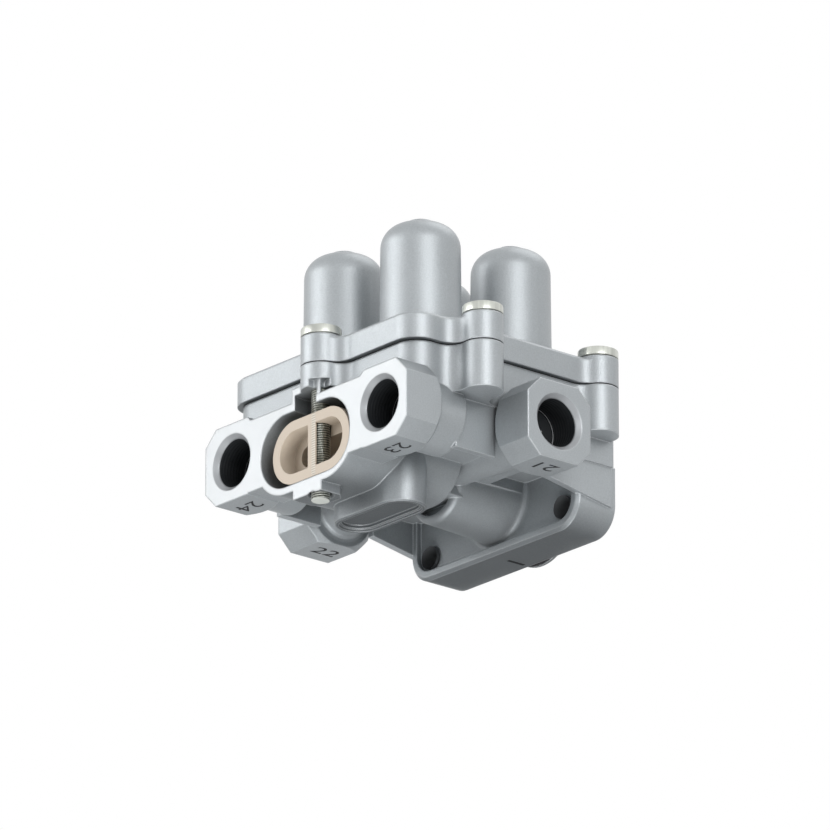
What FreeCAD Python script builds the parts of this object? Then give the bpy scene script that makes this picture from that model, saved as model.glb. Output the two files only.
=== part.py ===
"""Four-circuit protection valve: die-cast housing and cover, screws, insert and inner valves.

Frame, in millimetres: the origin is on the port 1 axis in the plane of the mounting flange.
+X points to port 21, +Y points out of the flange to the rear, +Z points up to the domes.
Depths called *_drop are measured down from the parting plane between housing and cover.
Distances called *_ahead are measured forward (towards -Y) from the centre of the dome grid.
"""
import FreeCAD, Part
import math
import os
import re

import Sketcher

V = FreeCAD.Vector
os.makedirs("parts", exist_ok=True)
doc = FreeCAD.newDocument("ProtectionValve")

# Driving dimensions
SIZES = {
    "deck": 35.0,               # parting plane above the port 1 axis
    "grid_back": 56.0,          # dome grid centre to the flange plane
    "dome_pitch": 48.6,
    # cover plate
    "cover_width": 118.6,
    "cover_ahead": 57.8,
    "cover_behind": 54.0,
    "corner_rad": 11.0,
    "cover_thick": 11.3,
    "blend_rad": 7.0,
    "lip": 2.0,
    "plate_edge": 1.1,
    "gasket_thick": 0.6,
    "gasket_lip": 0.4,
    # domes
    "dome_rad": 17.0,
    "dome_taper": 0.6,
    "dome_height": 64.0,
    "dome_shoulder": 10.0,
    "crown_rad": 5.5,
    "crown_rise": 1.5,
    "bore_rad": 13.2,
    "dome_crown": 5.0,
    "bore_bevel": 4.0,
    "foot_rad": 1.8,
    # screw bosses and screws
    "boss_rad": 8.4,
    "boss_rise": 12.0,
    "front_screw_x": 4.2,
    "front_screw_ahead": 60.3,
    "side_screw_x": 67.2,
    "side_screw_ahead": 27.8,
    "rear_screw_x": 57.4,
    "rear_screw_behind": 42.8,
    "mid_screw_behind": 45.2,
    "screw_rad": 4.0,
    "screw_play": 0.05,
    "screw_clear": 0.5,
    "head_height": 4.1,
    "head_rad": 8.4,
    "head_bevel": 0.5,
    "tip_bevel": 0.3,
    "socket_width": 6.0,
    "socket_deep": 3.0,
    "short_reach": 17.0,
    "tip_drop": 57.8,
    # housing blocks; sink is how far one block runs into the next
    "sink": 2.0,
    "block_drop": 20.5,
    "front_boss_drop": 10.6,
    "belly_half": 43.5,
    "belly_ahead": 34.0,
    "belly_behind": 20.0,
    "belly_drop": 36.0,
    "belly_round": 3.0,
    "belly_bevel": 1.8,
    "rear_floor_drop": 31.0,
    "rear_half": 55.0,
    "cheek_half": 54.0,
    "wall": 3.2,
    "skirt_half": 56.5,
    "skirt_ahead": 33.0,
    "skirt_end": 12.0,
    "skirt_drop": 42.0,
    "cheek_behind": 14.0,
    "cheek_front_drop": 41.2,
    "cheek_rear_drop": 48.0,
    # block between the pocket and the duct
    "core_half": 14.5,
    "core_drop": 43.6,
    "cup_rad": 13.2,
    "cup_deep": 3.5,
    # threaded ports
    "port_flats": 33.4,
    "port_bevel": 6.6,
    "port_trim": 0.2,
    "port_rad": 10.2,
    "port_mouth": 12.1,
    "port_deep": 16.0,
    "front_port_x": 46.8,
    "front_port_drop": 28.2,
    "front_face": 65.3,
    "front_prism": 19.0,
    "front_neck_rad": 15.0,
    "front_neck_end": 31.8,
    "side_port_behind": 3.0,
    "side_port_drop": 29.2,
    "side_face": 78.8,
    "side_prism": 20.3,
    "side_neck_rad": 12.8,
    "side_neck_tip": 9.6,
    "side_neck_x": 10.0,
    # open pocket between the front ports
    "pocket_half": 28.15,
    "pocket_rad": 15.75,
    "pocket_drop": 32.75,
    "pocket_deep": 33.0,
    "pocket_wall": 3.0,
    "pocket_taper": 1.4,
    "pocket_end": 7.0,
    "bridge_half": 36.0,
    "bridge_drop": 13.5,
    # relief round the front screw
    "notch_right": 6.9,
    "notch_rad": 11.8,
    "notch_wall": 1.6,
    "web_thick": 1.9,
    "web_step": 1.1,
    "window_right": 13.7,
    "window_drop": 7.5,
    "window_rad": 1.6,
    "window_deep": 3.0,
    "pad_left": 7.5,
    "pad_right": 10.2,
    "pad_drop": 55.5,
    "pad_ahead": 52.0,
    "pad_bevel": 3.0,
    "tip_hole_rad": 4.6,
    "tip_hole_deep": 4.0,
    "tip_hole_bevel": 0.9,
    # bare nameplate boss under the housing
    "plate_boss_x": 7.2,
    "plate_boss_ahead": 31.2,
    "plate_boss_drop": 58.8,
    "plate_boss_length": 47.0,
    "plate_boss_width": 20.6,
    "plate_rim": 2.0,
    "plate_step": 1.1,
    "plate_deep": 2.6,
    "plate_boss_edge": 0.6,
    # port 1 duct and flange
    "duct_behind": 3.0,
    "duct_front_rad": 16.2,
    "duct_rear_rad": 17.6,
    "duct_round": 2.9,
    "blend_size": 2.6,
    "blend_sink": 0.2,
    "flange_half": 52.5,
    "flange_drop": 58.2,
    "flange_thick": 18.0,
    "flange_rim": 2.5,
    "rim_width": 4.0,
    "flange_corner": 12.0,
    "flange_edge": 1.4,
    "bolt_x": 41.5,
    "bolt_drop": 48.1,
    "bolt_rad": 5.0,
    "spigot_rad": 22.0,
    "spigot_out": 6.3,
    "ring_rad": 1.5,
    "ring_play": 0.02,
    "groove_deep": 2.6,
    "groove_wide": 3.4,
    "groove_start": 1.6,
    "inlet_rad": 13.0,
    "inlet_deep": 46.0,
    # air ways and valve seats
    "chamber_drop": 11.0,
    "seat_drop": 6.5,
    "seat_rad": 7.2,
    "feed_rad": 5.2,
    "gallery_drop": 24.8,
    "gallery_rad": 4.2,
    "cross_behind": 12.0,
    "drill_rad": 3.0,
    "drill_rise": 0.5,
    # inner valve pieces
    "piston_play": 0.08,
    "piston_base": 3.0,
    "piston_height": 9.0,
    "piston_lead": 1.0,
    "disc_thick": 2.5,
    "disc_rad": 8.6,
    "ring_wire": 1.3,
    "ring_land": 2.2,
    "spring_wire": 1.7,
    "spring_rad": 9.6,
    "spring_turns": 4.0,
    "spring_cup": 2.0,
    "plate_thick": 2.4,
    "plate_flat": 9.0,
    "cup_play": 0.4,
    # moulded insert
    "insert_x": 3.9,
    "insert_half": 24.05,
    "insert_rad": 13.55,
    "insert_lift": 0.15,
    "insert_deep": 24.0,
    "insert_wall": 4.3,
    "insert_step": 7.8,
    "insert_ledge": 4.6,
    "insert_floor": 3.0,
    "insert_play": 0.2,
    "rib_width": 4.5,
    "rib_deep": 0.85,
}

sheet = doc.addObject("Spreadsheet::Sheet", "Dims")
for row, (alias, value) in enumerate(SIZES.items(), start=1):
    sheet.set(f"A{row}", alias)
    sheet.set(f"B{row}", str(value))
    sheet.setAlias(f"B{row}", alias)
doc.recompute()


def fx(text):
    """Turns a formula of size names into an expression that reads the sheet."""
    return re.sub(r"[A-Za-z_]+", lambda word: "Dims." + word.group() if word.group() in SIZES
                  else word.group(), str(text))


def val(text):
    """The value of a formula of size names."""
    return float(sheet.evalExpression(fx(text)))


def bind(obj, **formulas):
    """Binds properties of an object to formulas of the sheet's sizes."""
    for prop, text in formulas.items():
        obj.setExpression(prop, fx(text))
    return obj


def place(obj, x="0", y="0", z="0"):
    """Binds an object's position to formulas."""
    for axis, text in zip("xyz", (x, y, z)):
        obj.setExpression(f".Placement.Base.{axis}", fx(text))
    return obj


ALONG = {
    "+Z": FreeCAD.Rotation(),
    "-Z": FreeCAD.Rotation(V(1, 0, 0), 180),
    "+X": FreeCAD.Rotation(V(0, 1, 0), 90),
    "-X": FreeCAD.Rotation(V(0, 1, 0), -90),
    "+Y": FreeCAD.Rotation(V(1, 0, 0), -90),
    "-Y": FreeCAD.Rotation(V(1, 0, 0), 90),
}


def box(name, x0, x1, y0, y1, z0, z1):
    """A box between two corners, each coordinate a formula."""
    obj = doc.addObject("Part::Box", name)
    bind(obj, Length=f"({x1}) - ({x0})", Width=f"({y1}) - ({y0})", Height=f"({z1}) - ({z0})")
    return place(obj, x0, y0, z0)


def rod(name, radius, length, at, along="+Z"):
    """A cylinder from a point along an axis."""
    obj = doc.addObject("Part::Cylinder", name)
    bind(obj, Radius=radius, Height=length)
    obj.Placement = FreeCAD.Placement(V(), ALONG[along])
    return place(obj, *at)


def cone(name, radius1, radius2, length, at, along="+Z"):
    """A cone frustum from a point along an axis."""
    obj = doc.addObject("Part::Cone", name)
    bind(obj, Radius1=radius1, Radius2=radius2, Height=length)
    obj.Placement = FreeCAD.Placement(V(), ALONG[along])
    return place(obj, *at)


def fuse(name, *shapes):
    """The union of several objects."""
    obj = doc.addObject("Part::MultiFuse", name)
    obj.Shapes = list(shapes)
    obj.Refine = True
    return obj


def cut(name, base, *tools):
    """An object with others taken away."""
    obj = doc.addObject("Part::Cut", name)
    obj.Base = base
    obj.Tool = tools[0] if len(tools) == 1 else fuse(name + "_tools", *tools)
    obj.Refine = True
    return obj


def common(name, first, second):
    """What two objects share."""
    obj = doc.addObject("Part::Common", name)
    obj.Base = first
    obj.Tool = second
    return obj


def rounded(name, base, radius, wanted):
    """An object with the edges that a test picks rounded off."""
    doc.recompute()
    picked = [i for i, edge in enumerate(base.Shape.Edges, start=1) if wanted(edge)]
    obj = doc.addObject("Part::Fillet", name)
    obj.Base = base
    obj.Edges = [(i, val(radius), val(radius)) for i in picked]
    base.Visibility = False
    return obj


def bevelled(name, base, size, wanted):
    """An object with the edges that a test picks cut at 45 degrees."""
    doc.recompute()
    picked = [i for i, edge in enumerate(base.Shape.Edges, start=1) if wanted(edge)]
    obj = doc.addObject("Part::Chamfer", name)
    obj.Base = base
    obj.Edges = [(i, val(size), val(size)) for i in picked]
    return obj


def is_line(edge):
    """True for a straight edge."""
    return isinstance(edge.Curve, Part.Line)


def runs(edge, axis):
    """True for a straight edge that runs along one axis (0, 1 or 2)."""
    if not is_line(edge):
        return False
    step = edge.Vertexes[-1].Point - edge.Vertexes[0].Point
    return abs(abs(step[axis]) - step.Length) < 1e-4


def at_level(edge, axis, level):
    """True for an edge that lies wholly in one plane across an axis."""
    bounds = edge.BoundBox
    low = (bounds.XMin, bounds.YMin, bounds.ZMin)[axis]
    high = (bounds.XMax, bounds.YMax, bounds.ZMax)[axis]
    return abs(low - level) < 1e-3 and abs(high - level) < 1e-3


def stadium(name, half, radius, length, at, along):
    """A bar with an obround section: long way along X, pushed along Y or Z."""
    face = doc.addObject("Part::Feature", name + "_face")
    reach = val(half) - val(radius)
    r = val(radius)
    top = Part.LineSegment(V(-reach, r, 0), V(reach, r, 0)).toShape()
    right = Part.Arc(V(reach, r, 0), V(reach + r, 0, 0), V(reach, -r, 0)).toShape()
    low = Part.LineSegment(V(reach, -r, 0), V(-reach, -r, 0)).toShape()
    left = Part.Arc(V(-reach, -r, 0), V(-reach - r, 0, 0), V(-reach, r, 0)).toShape()
    face.Shape = Part.Face(Part.Wire([top, right, low, left]))
    face.Placement = FreeCAD.Placement(V(), ALONG[along])
    place(face, *at)
    bar = doc.addObject("Part::Extrusion", name)
    bar.Base = face
    bar.DirMode = "Custom"
    bar.Dir = ALONG[along].multVec(V(0, 0, 1))
    bar.Solid = True
    bind(bar, LengthFwd=length)
    return bar


def prism(name, points, depth, at, along):
    """A polygon of formula points, pushed along an axis."""
    flat = [V(val(x), val(y), 0) for x, y in points]
    face = doc.addObject("Part::Feature", name + "_face")
    face.Shape = Part.Face(Part.makePolygon(flat + flat[:1]))
    face.Placement = FreeCAD.Placement(V(), ALONG[along])
    place(face, *at)
    bar = doc.addObject("Part::Extrusion", name)
    bar.Base = face
    bar.DirMode = "Custom"
    bar.Dir = ALONG[along].multVec(V(0, 0, 1))
    bar.Solid = True
    bind(bar, LengthFwd=depth)
    return bar


def turned(name, points, at):
    """A body revolved about Z from a profile of (radius, height) formulas."""
    body = doc.addObject("PartDesign::Body", name + "_body")
    plane = [o for o in body.Origin.OriginFeatures if o.Role == "XZ_Plane"][0]
    sketch = body.newObject("Sketcher::SketchObject", name + "_profile")
    sketch.AttachmentSupport = [(plane, "")]
    sketch.MapMode = "FlatFace"
    flat = [V(val(x), val(y), 0) for x, y in points]
    for i, start in enumerate(flat):
        sketch.addGeometry(Part.LineSegment(start, flat[(i + 1) % len(flat)]), False)
    for i in range(len(flat)):
        sketch.addConstraint(Sketcher.Constraint("Coincident", i, 2, (i + 1) % len(flat), 1))
    for i, (x, y) in enumerate(points):
        for kind, text, size in (("DistanceX", x, flat[i].x), ("DistanceY", y, flat[i].y)):
            number = sketch.addConstraint(Sketcher.Constraint(kind, -1, 1, i, 1, size))
            sketch.setExpression(f"Constraints[{number}]", fx(text))
    spin = body.newObject("PartDesign::Revolution", name + "_turn")
    spin.Profile = sketch
    spin.ReferenceAxis = (sketch, ["V_Axis"])
    spin.Angle = 360
    body.Tip = spin
    return place(body, *at)


def ring(name, radius, wire, at, along="+Z"):
    """A seal ring round a point: its section is a circle drawn with WIRE_FLATS flats."""
    turns = [2 * math.pi * (k + 0.5) / WIRE_FLATS for k in range(WIRE_FLATS)]
    points = [(f"{radius} + {math.cos(t):.7f} * {wire}", f"{math.sin(t):.7f} * {wire}")
              for t in turns]
    body = turned(name, points, ("0", "0", "0"))
    body.Placement = FreeCAD.Placement(V(), ALONG[along])
    return place(body, *at)


# Places shared by several pieces
CIRCUITS = {
    "21": ("dome_pitch / 2", "-grid_back + dome_pitch / 2"),
    "22": ("-dome_pitch / 2", "-grid_back + dome_pitch / 2"),
    "23": ("dome_pitch / 2", "-grid_back - dome_pitch / 2"),
    "24": ("-dome_pitch / 2", "-grid_back - dome_pitch / 2"),
}
FRONT_SCREW = ("front_screw_x", "-grid_back - front_screw_ahead")
SHORT_SCREWS = [
    ("side_screw_x", "-grid_back - side_screw_ahead"),
    ("-side_screw_x", "-grid_back - side_screw_ahead"),
    ("rear_screw_x", "-grid_back + rear_screw_behind"),
    ("-rear_screw_x", "-grid_back + rear_screw_behind"),
    ("0", "-grid_back + mid_screw_behind"),
]
FACE_Y = "-grid_back - front_face"
DECK = "deck"
BORE_HEIGHT = "dome_height - dome_crown"
BLOCK_BASE = "deck - block_drop"
LUG_WEB = 0.8                   # half width of the web that carries a boss, in boss radii
BLEND_STEPS = 3                 # flats of a concave blend
WIRE_FLATS = 6                  # flats round the section of a seal ring or a spring wire
INSERT_Z = "deck - pocket_drop - pocket_rad + insert_rad + insert_lift"
OVER = "sink / 2"               # how far a cutting tool runs past the face that it opens


def outline(name, inset, radius_of_bosses, bosses):
    """The plan of plate or block: a rounded rectangle with blended screw bosses."""
    half = val("cover_width") / 2 - val(inset)
    front = -val("grid_back") - val("cover_ahead") + val(inset)
    back = -val("grid_back") + val("cover_behind") - val(inset)
    corner = val("corner_rad") - val(inset) / 2
    plate = Part.makePlane(2 * half, back - front, V(-half, front, 0))
    solid = plate.extrude(V(0, 0, 1))
    solid = solid.makeFillet(corner, [e for e in solid.Edges if runs(e, 2)])
    lugs = []
    for x, y in bosses:
        centre = V(val(x), val(y), 0)
        radius = val(radius_of_bosses)
        lugs.append(Part.makeCylinder(radius, 1, centre))
        root = V(max(-half + corner, min(half - corner, centre.x)),
                 max(front + corner, min(back - corner, centre.y)), 0)
        if (centre - root).Length > 0.1:
            web = Part.makeBox((centre - root).Length, 2 * LUG_WEB * radius, 1,
                               V(0, -LUG_WEB * radius, 0))
            turn = math.degrees(math.atan2(centre.y - root.y, centre.x - root.x))
            web.Placement = FreeCAD.Placement(root, FreeCAD.Rotation(V(0, 0, 1), turn))
            lugs.append(web)
    solid = solid.fuse(lugs).removeSplitter()
    floor = [f for f in solid.Faces if abs(f.CenterOfMass.z) < 1e-6][0]
    swollen = floor.makeOffset2D(val("blend_rad"), 0, False, False, False)
    wires = swollen.makeOffset2D(-val("blend_rad"), 0, False, False, False)
    feature = doc.addObject("Part::Feature", name)
    feature.Shape = Part.Face(max(wires.Wires, key=lambda w: w.BoundBox.DiagonalLength))
    return feature


def slab(name, plan, thick, z):
    """A plan pushed up or down from a level."""
    place(plan, "0", "0", z)
    bar = doc.addObject("Part::Extrusion", name)
    bar.Base = plan
    bar.DirMode = "Custom"
    bar.Dir = V(0, 0, 1)
    bar.Solid = True
    bind(bar, LengthFwd=thick)
    return bar


def finish(name, obj):
    """Gives the last feature of a piece its name."""
    obj.Label = name
    NODES[name] = obj


NODES = {}

# Cover: plate, bosses and four domes in one casting
all_screws = [FRONT_SCREW] + SHORT_SCREWS
plate = slab("cover_plate", outline("cover_plan", "0", "boss_rad", all_screws), "cover_thick", DECK)
plate = bevelled("cover_plate_bevel", plate, "plate_edge",
                 lambda e: at_level(e, 2, val("deck + cover_thick")))
solids = [plate]
holes = []
for circuit, (x, y) in CIRCUITS.items():
    shell = cone("dome_" + circuit, "dome_rad", "dome_rad - dome_taper", "dome_height",
                 (x, y, DECK))
    shell = rounded("dome_round_" + circuit, shell, "dome_shoulder",
                    lambda e: at_level(e, 2, val("deck + dome_height")))
    crown = rod("crown_" + circuit, "crown_rad", "crown_rise + sink",
                (x, y, "deck + dome_height - sink"))
    foot = cone("foot_" + circuit, "dome_rad + foot_rad", "dome_rad - dome_taper", "2 * foot_rad",
                (x, y, "deck + cover_thick - foot_rad / 2"))
    solids += [shell, crown, foot]
    bore = rod("dome_bore_" + circuit, "bore_rad", BORE_HEIGHT, (x, y, DECK))
    bore = bevelled("dome_bore_bevel_" + circuit, bore, "bore_bevel",
                    lambda e: at_level(e, 2, val(f"deck + {BORE_HEIGHT}")))
    holes.append(bore)
for i, (x, y) in enumerate(all_screws):
    solids.append(rod(f"cover_boss_{i}", "boss_rad", "boss_rise", (x, y, DECK)))
    holes.append(rod(f"cover_hole_{i}", "screw_rad + screw_clear", "boss_rise", (x, y, DECK)))
finish("cover", cut("cover_cast", fuse("cover_solid", *solids), *holes))

# Gasket between cover and body
gasket = slab("gasket_plate", outline("gasket_plan", "lip + gasket_lip", "boss_rad - gasket_lip", all_screws),
              "gasket_thick", "deck - gasket_thick")
holes = [rod("gasket_bore_" + c, "bore_rad", "gasket_thick", (x, y, "deck - gasket_thick"))
         for c, (x, y) in CIRCUITS.items()]
holes += [rod(f"gasket_hole_{i}", "screw_rad + screw_clear", "gasket_thick",
              (x, y, "deck - gasket_thick")) for i, (x, y) in enumerate(all_screws)]
finish("cover_gasket", cut("gasket_cut", gasket, *holes))


# Housing
def blend_ring(name, radius, size, at, along):
    """A concave blend round a rod, where it grows out of a flat face."""
    steps = [math.radians(90 * k / BLEND_STEPS) for k in range(BLEND_STEPS + 1)]
    points = [(f"{radius} - {OVER}", f"-({OVER})"), (f"{radius} + {size}", f"-({OVER})")]
    points += [(f"{radius} + {size} * {1 - math.sin(t):.7f}", f"{size} * {1 - math.cos(t):.7f}")
               for t in steps]
    points.append((f"{radius} - {OVER}", size))
    body = turned(name, points, ("0", "0", "0"))
    body.Placement = FreeCAD.Placement(V(), ALONG[along])
    return place(body, *at)


def octagon_port(name, at, along, length):
    """A square port with bevelled corners, its back corners turned down to a circle."""
    half = "port_flats / 2"
    flat = "port_flats / 2 - port_bevel"
    corners = [(half, flat), (flat, half), (f"-({flat})", half), (f"-({half})", flat),
               (f"-({half})", f"-({flat})"), (f"-({flat})", f"-({half})"),
               (flat, f"-({half})"), (half, f"-({flat})")]
    bar = prism(name + "_bar", corners, length, at, along)
    turn = cone(name + "_turn", "port_flats / 2 + port_trim",
                f"port_flats / 2 + port_trim + {length}", length, at, along)
    return common(name, bar, turn)


solids = []
block_plan = outline("block_plan", "lip", "boss_rad", SHORT_SCREWS)
solids.append(slab("block", block_plan, "block_drop - gasket_thick", "deck - block_drop"))
front_plan = outline("front_plan", "lip", "boss_rad", all_screws)
front_slab = slab("front_block", front_plan, "front_boss_drop - gasket_thick",
                  "deck - front_boss_drop")
solids.append(front_slab)
belly = box("belly", "-belly_half", "belly_half", "-grid_back - belly_ahead",
            "-grid_back + belly_behind", "deck - belly_drop", f"{BLOCK_BASE} + sink")
belly = rounded("belly_rounded", belly, "belly_round", lambda e: runs(e, 2))
belly = bevelled("belly_bevelled", belly, "belly_bevel",
                 lambda e: at_level(e, 2, val("deck - belly_drop")))
solids.append(belly)
solids.append(box("rear_block", "-rear_half", "rear_half", "-grid_back + belly_behind - 2 * sink",
                  "-lip - sink / 2", "deck - rear_floor_drop", f"{BLOCK_BASE} + sink"))
spine = box("spine", "-duct_rear_rad", "duct_rear_rad", "-grid_back - pocket_end",
            "-flange_thick + sink", "deck - belly_drop", "deck - rear_floor_drop + sink")
solids.append(spine)

core = box("core", "-core_half", "core_half", "-grid_back - pocket_end - sink",
           "-grid_back + duct_behind + cup_deep", "deck - core_drop", "deck - belly_drop + sink")
solids.append(core)

for side, sign in (("right", ""), ("left", "-")):
    # rear cheek with its sloping lower edge, joined to the flange
    cheek = prism("cheek_" + side, [
        ("-grid_back + cheek_behind", "deck - cheek_front_drop"),
        ("-grid_back + cheek_behind", f"{BLOCK_BASE} + sink"),
        ("-lip - sink / 2", f"{BLOCK_BASE} + sink"),
        ("-lip - sink / 2", "deck - cheek_rear_drop"),
    ], "wall", ("0", "0", "0"), "+Z")
    turn = FreeCAD.Rotation(V(1, 1, 1), 120)
    cheek.Base.Placement = FreeCAD.Placement(V(), turn)
    start = "cheek_half - wall" if side == "right" else "-cheek_half"
    place(cheek.Base, start, "0", "0")
    cheek.Dir = V(1, 0, 0)
    solids.append(cheek)
    # side skirt between the front neck and the side port
    inner, outer = f"{sign}(skirt_half - wall)", f"{sign}skirt_half"
    skirt = (inner, outer) if side == "right" else (outer, inner)
    solids.append(box("skirt_" + side, *skirt, "-grid_back - skirt_ahead",
                      "-grid_back - skirt_end", "deck - skirt_drop", f"{BLOCK_BASE} + sink"))
    # front port
    port_x = f"{sign}front_port_x"
    port_z = "deck - front_port_drop"
    solids.append(octagon_port("front_port_" + side,
                               (port_x, f"{FACE_Y} + front_prism", port_z), "-Y", "front_prism"))
    solids.append(rod("front_neck_" + side, "front_neck_rad",
                      "front_face - front_prism - front_neck_end + sink / 2",
                      (port_x, "-grid_back - front_neck_end", port_z), "-Y"))
    # side port, its neck tapering inwards under the belly
    outward = "+X" if side == "right" else "-X"
    inward = "-X" if side == "right" else "+X"
    port_y = "-grid_back + side_port_behind"
    port_z = "deck - side_port_drop"
    back_x = f"{sign}(side_face - side_prism)"
    solids.append(octagon_port("side_port_" + side, (back_x, port_y, port_z), outward,
                               "side_prism"))
    solids.append(cone("side_neck_" + side, "side_neck_rad", "side_neck_tip",
                       "side_face - side_prism - side_neck_x + sink",
                       (f"{sign}(side_face - side_prism + sink)", port_y, port_z), inward))
    solids.append(blend_ring("side_blend_" + side, "side_neck_rad - 2 * blend_sink",
                             "blend_size", (back_x, port_y, port_z), inward))

# open pocket housing between the front ports, drafted towards the rear
shell = stadium("pocket_shell", "pocket_half + pocket_wall", "pocket_rad + pocket_wall",
                "front_face - pocket_end", ("0", FACE_Y, "deck - pocket_drop"), "+Y")
bind(shell, TaperAngle="-pocket_taper")
solids.append(shell)
bridge = box("bridge", "-bridge_half", "bridge_half", FACE_Y, f"{FACE_Y} + front_prism",
             "deck - pocket_drop - pocket_rad + 2 * sink", "deck - bridge_drop")
solids.append(bridge)
solids.append(common(
    "notch_wall", rod("notch_wall_round", "notch_rad + notch_wall", "pocket_drop - window_drop",
                      (*FRONT_SCREW, "deck - pocket_drop")),
    box("notch_wall_part", "-bridge_half", "notch_right", FACE_Y, "-grid_back",
        f"deck - pocket_drop - {OVER}", "deck")))
pad = box("tip_pad", "-pad_left", "pad_right", FACE_Y, "-grid_back - pad_ahead",
          "deck - pad_drop", "deck - pad_drop + 4 * sink")
pad = bevelled("tip_pad_bevel", pad, "pad_bevel",
               lambda e: runs(e, 2) and at_level(e, 1, val("-grid_back - pad_ahead")))
solids.append(pad)
boss = stadium("plate_boss", "plate_boss_length / 2", "plate_boss_width / 2",
               "plate_boss_drop - pocket_drop", ("plate_boss_x", "-grid_back - plate_boss_ahead",
                                                 "deck - plate_boss_drop"), "+Z")
boss = bevelled("plate_boss_bevel", boss, "plate_boss_edge",
                lambda e: at_level(e, 2, val("deck - plate_boss_drop")))
solids.append(boss)

# duct, flange and spigot of port 1
duct = cone("duct", "duct_front_rad", "duct_rear_rad",
            "grid_back - duct_behind - flange_thick + sink / 2",
            ("0", "-grid_back + duct_behind", "0"), "+Y")
duct = rounded("duct_end", duct, "duct_round",
               lambda e: at_level(e, 1, val("-grid_back + duct_behind")))
solids.append(duct)
solids.append(blend_ring("duct_blend", "duct_rear_rad - blend_sink", "blend_size",
                         ("0", "-flange_thick", "0"), "-Y"))
flange = box("flange_plate", "-flange_half", "flange_half", "-flange_thick - flange_rim", "0",
             "deck - flange_drop", "deck - rear_floor_drop + sink / 2")
flange = rounded("flange_corners", flange, "flange_corner", lambda e: runs(e, 1) and
                 at_level(e, 2, val("deck - flange_drop")))
flange = bevelled("flange_edged", flange, "flange_edge",
                  lambda e: at_level(e, 1, val("-flange_thick - flange_rim")) and
                  e.BoundBox.ZMin < val("deck - rear_floor_drop"))
hollow = box("flange_hollow", "-flange_half + rim_width", "flange_half - rim_width",
             "-flange_thick - flange_rim - sink", "-flange_thick",
             "deck - flange_drop + rim_width", "deck - rear_floor_drop")
hollow = rounded("flange_hollow_round", hollow, "flange_corner - rim_width",
                 lambda e: runs(e, 1) and
                 at_level(e, 2, val("deck - flange_drop + rim_width")))
flange = cut("flange_rimmed", flange, hollow)
solids.append(flange)
solids.append(rod("spigot", "spigot_rad", "spigot_out + sink", ("0", "-sink", "0"), "+Y"))
blank = fuse("body_blank", *solids)

tools = []
# machined front: nothing of the lower bosses stands in front of the port faces
tools.append(box("front_cut", "-bridge_half", "bridge_half", f"{FACE_Y} - boss_rad", FACE_Y,
                 f"deck - plate_boss_drop - {OVER}", "deck - front_boss_drop"))
tools.append(box("window_cut", "notch_right - web_step", "window_right", f"{FACE_Y} - boss_rad", FACE_Y,
                 f"deck - front_boss_drop - {OVER}", "deck - window_drop"))
window = box("window", "notch_right + web_thick", "window_right", f"{FACE_Y} - {OVER}",
             f"{FACE_Y} + window_deep", "deck - bridge_drop", "deck - window_drop")
window = rounded("window_round", window, "window_rad", lambda e: runs(e, 1))
tools.append(window)
pocket = stadium("pocket", "pocket_half", "pocket_rad", "pocket_deep",
                 ("0", FACE_Y, "deck - pocket_drop"), "+Y")
tools.append(pocket)
tools.append(stadium("insert_seat", "insert_half + insert_play / 2",
                     "insert_rad + insert_play / 2", "insert_deep",
                     ("insert_x", FACE_Y, INSERT_Z), "+Y"))
notch = common("notch", rod("notch_round", "notch_rad", "pocket_drop - front_boss_drop",
                            (*FRONT_SCREW, "deck - pocket_drop")),
               box("notch_part", "-bridge_half", "notch_right", f"{FACE_Y} - {OVER}", "-grid_back",
                   f"deck - pocket_drop - {OVER}", "deck"))
tools.append(notch)
tools.append(rod("tip_hole", "tip_hole_rad", "tip_hole_deep",
                 (*FRONT_SCREW, "deck - pad_drop")))
tools.append(cone("tip_hole_mouth", "tip_hole_rad + tip_hole_bevel", "tip_hole_rad", "tip_hole_bevel",
                  (*FRONT_SCREW, "deck - pad_drop")))
tools.append(rod("front_screw_hole", "screw_rad + screw_play", f"pad_drop + {OVER}",
                 (*FRONT_SCREW, f"deck - pad_drop - {OVER}")))
for i, (x, y) in enumerate(SHORT_SCREWS):
    tools.append(rod(f"screw_hole_{i}", "screw_rad + screw_play", "short_reach + sink",
                     (x, y, "deck - short_reach - sink")))
# bare nameplate recess, two steps deep
for step, (inset, deep) in enumerate((("plate_rim", "plate_step"),
                                      ("plate_rim + plate_step", "plate_deep"))):
    tools.append(stadium(f"plate_recess_{step}", f"plate_boss_length / 2 - ({inset})",
                         f"plate_boss_width / 2 - ({inset})", deep,
                         ("plate_boss_x", "-grid_back - plate_boss_ahead",
                          "deck - plate_boss_drop"), "+Z"))
# valve chambers round their seats
for circuit, (x, y) in CIRCUITS.items():
    well = rod("well_" + circuit, "bore_rad", "chamber_drop", (x, y, "deck - chamber_drop"))
    seat = rod("seat_" + circuit, "seat_rad", "chamber_drop - seat_drop",
               (x, y, "deck - chamber_drop"))
    tools.append(cut("chamber_" + circuit, well, seat))
    tools.append(rod("feed_" + circuit, "feed_rad", f"gallery_drop - seat_drop + {OVER}",
                     (x, y, "deck - gallery_drop")))
# shallow cup in the front end of the duct, below the core
tools.append(cut("duct_cup", rod("cup_round", "cup_rad", "cup_deep",
                                 ("0", "-grid_back + duct_behind", "0"), "+Y"),
                 box("cup_core", "-core_half", "core_half", "-grid_back",
                     "0", "deck - core_drop", "deck")))
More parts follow.
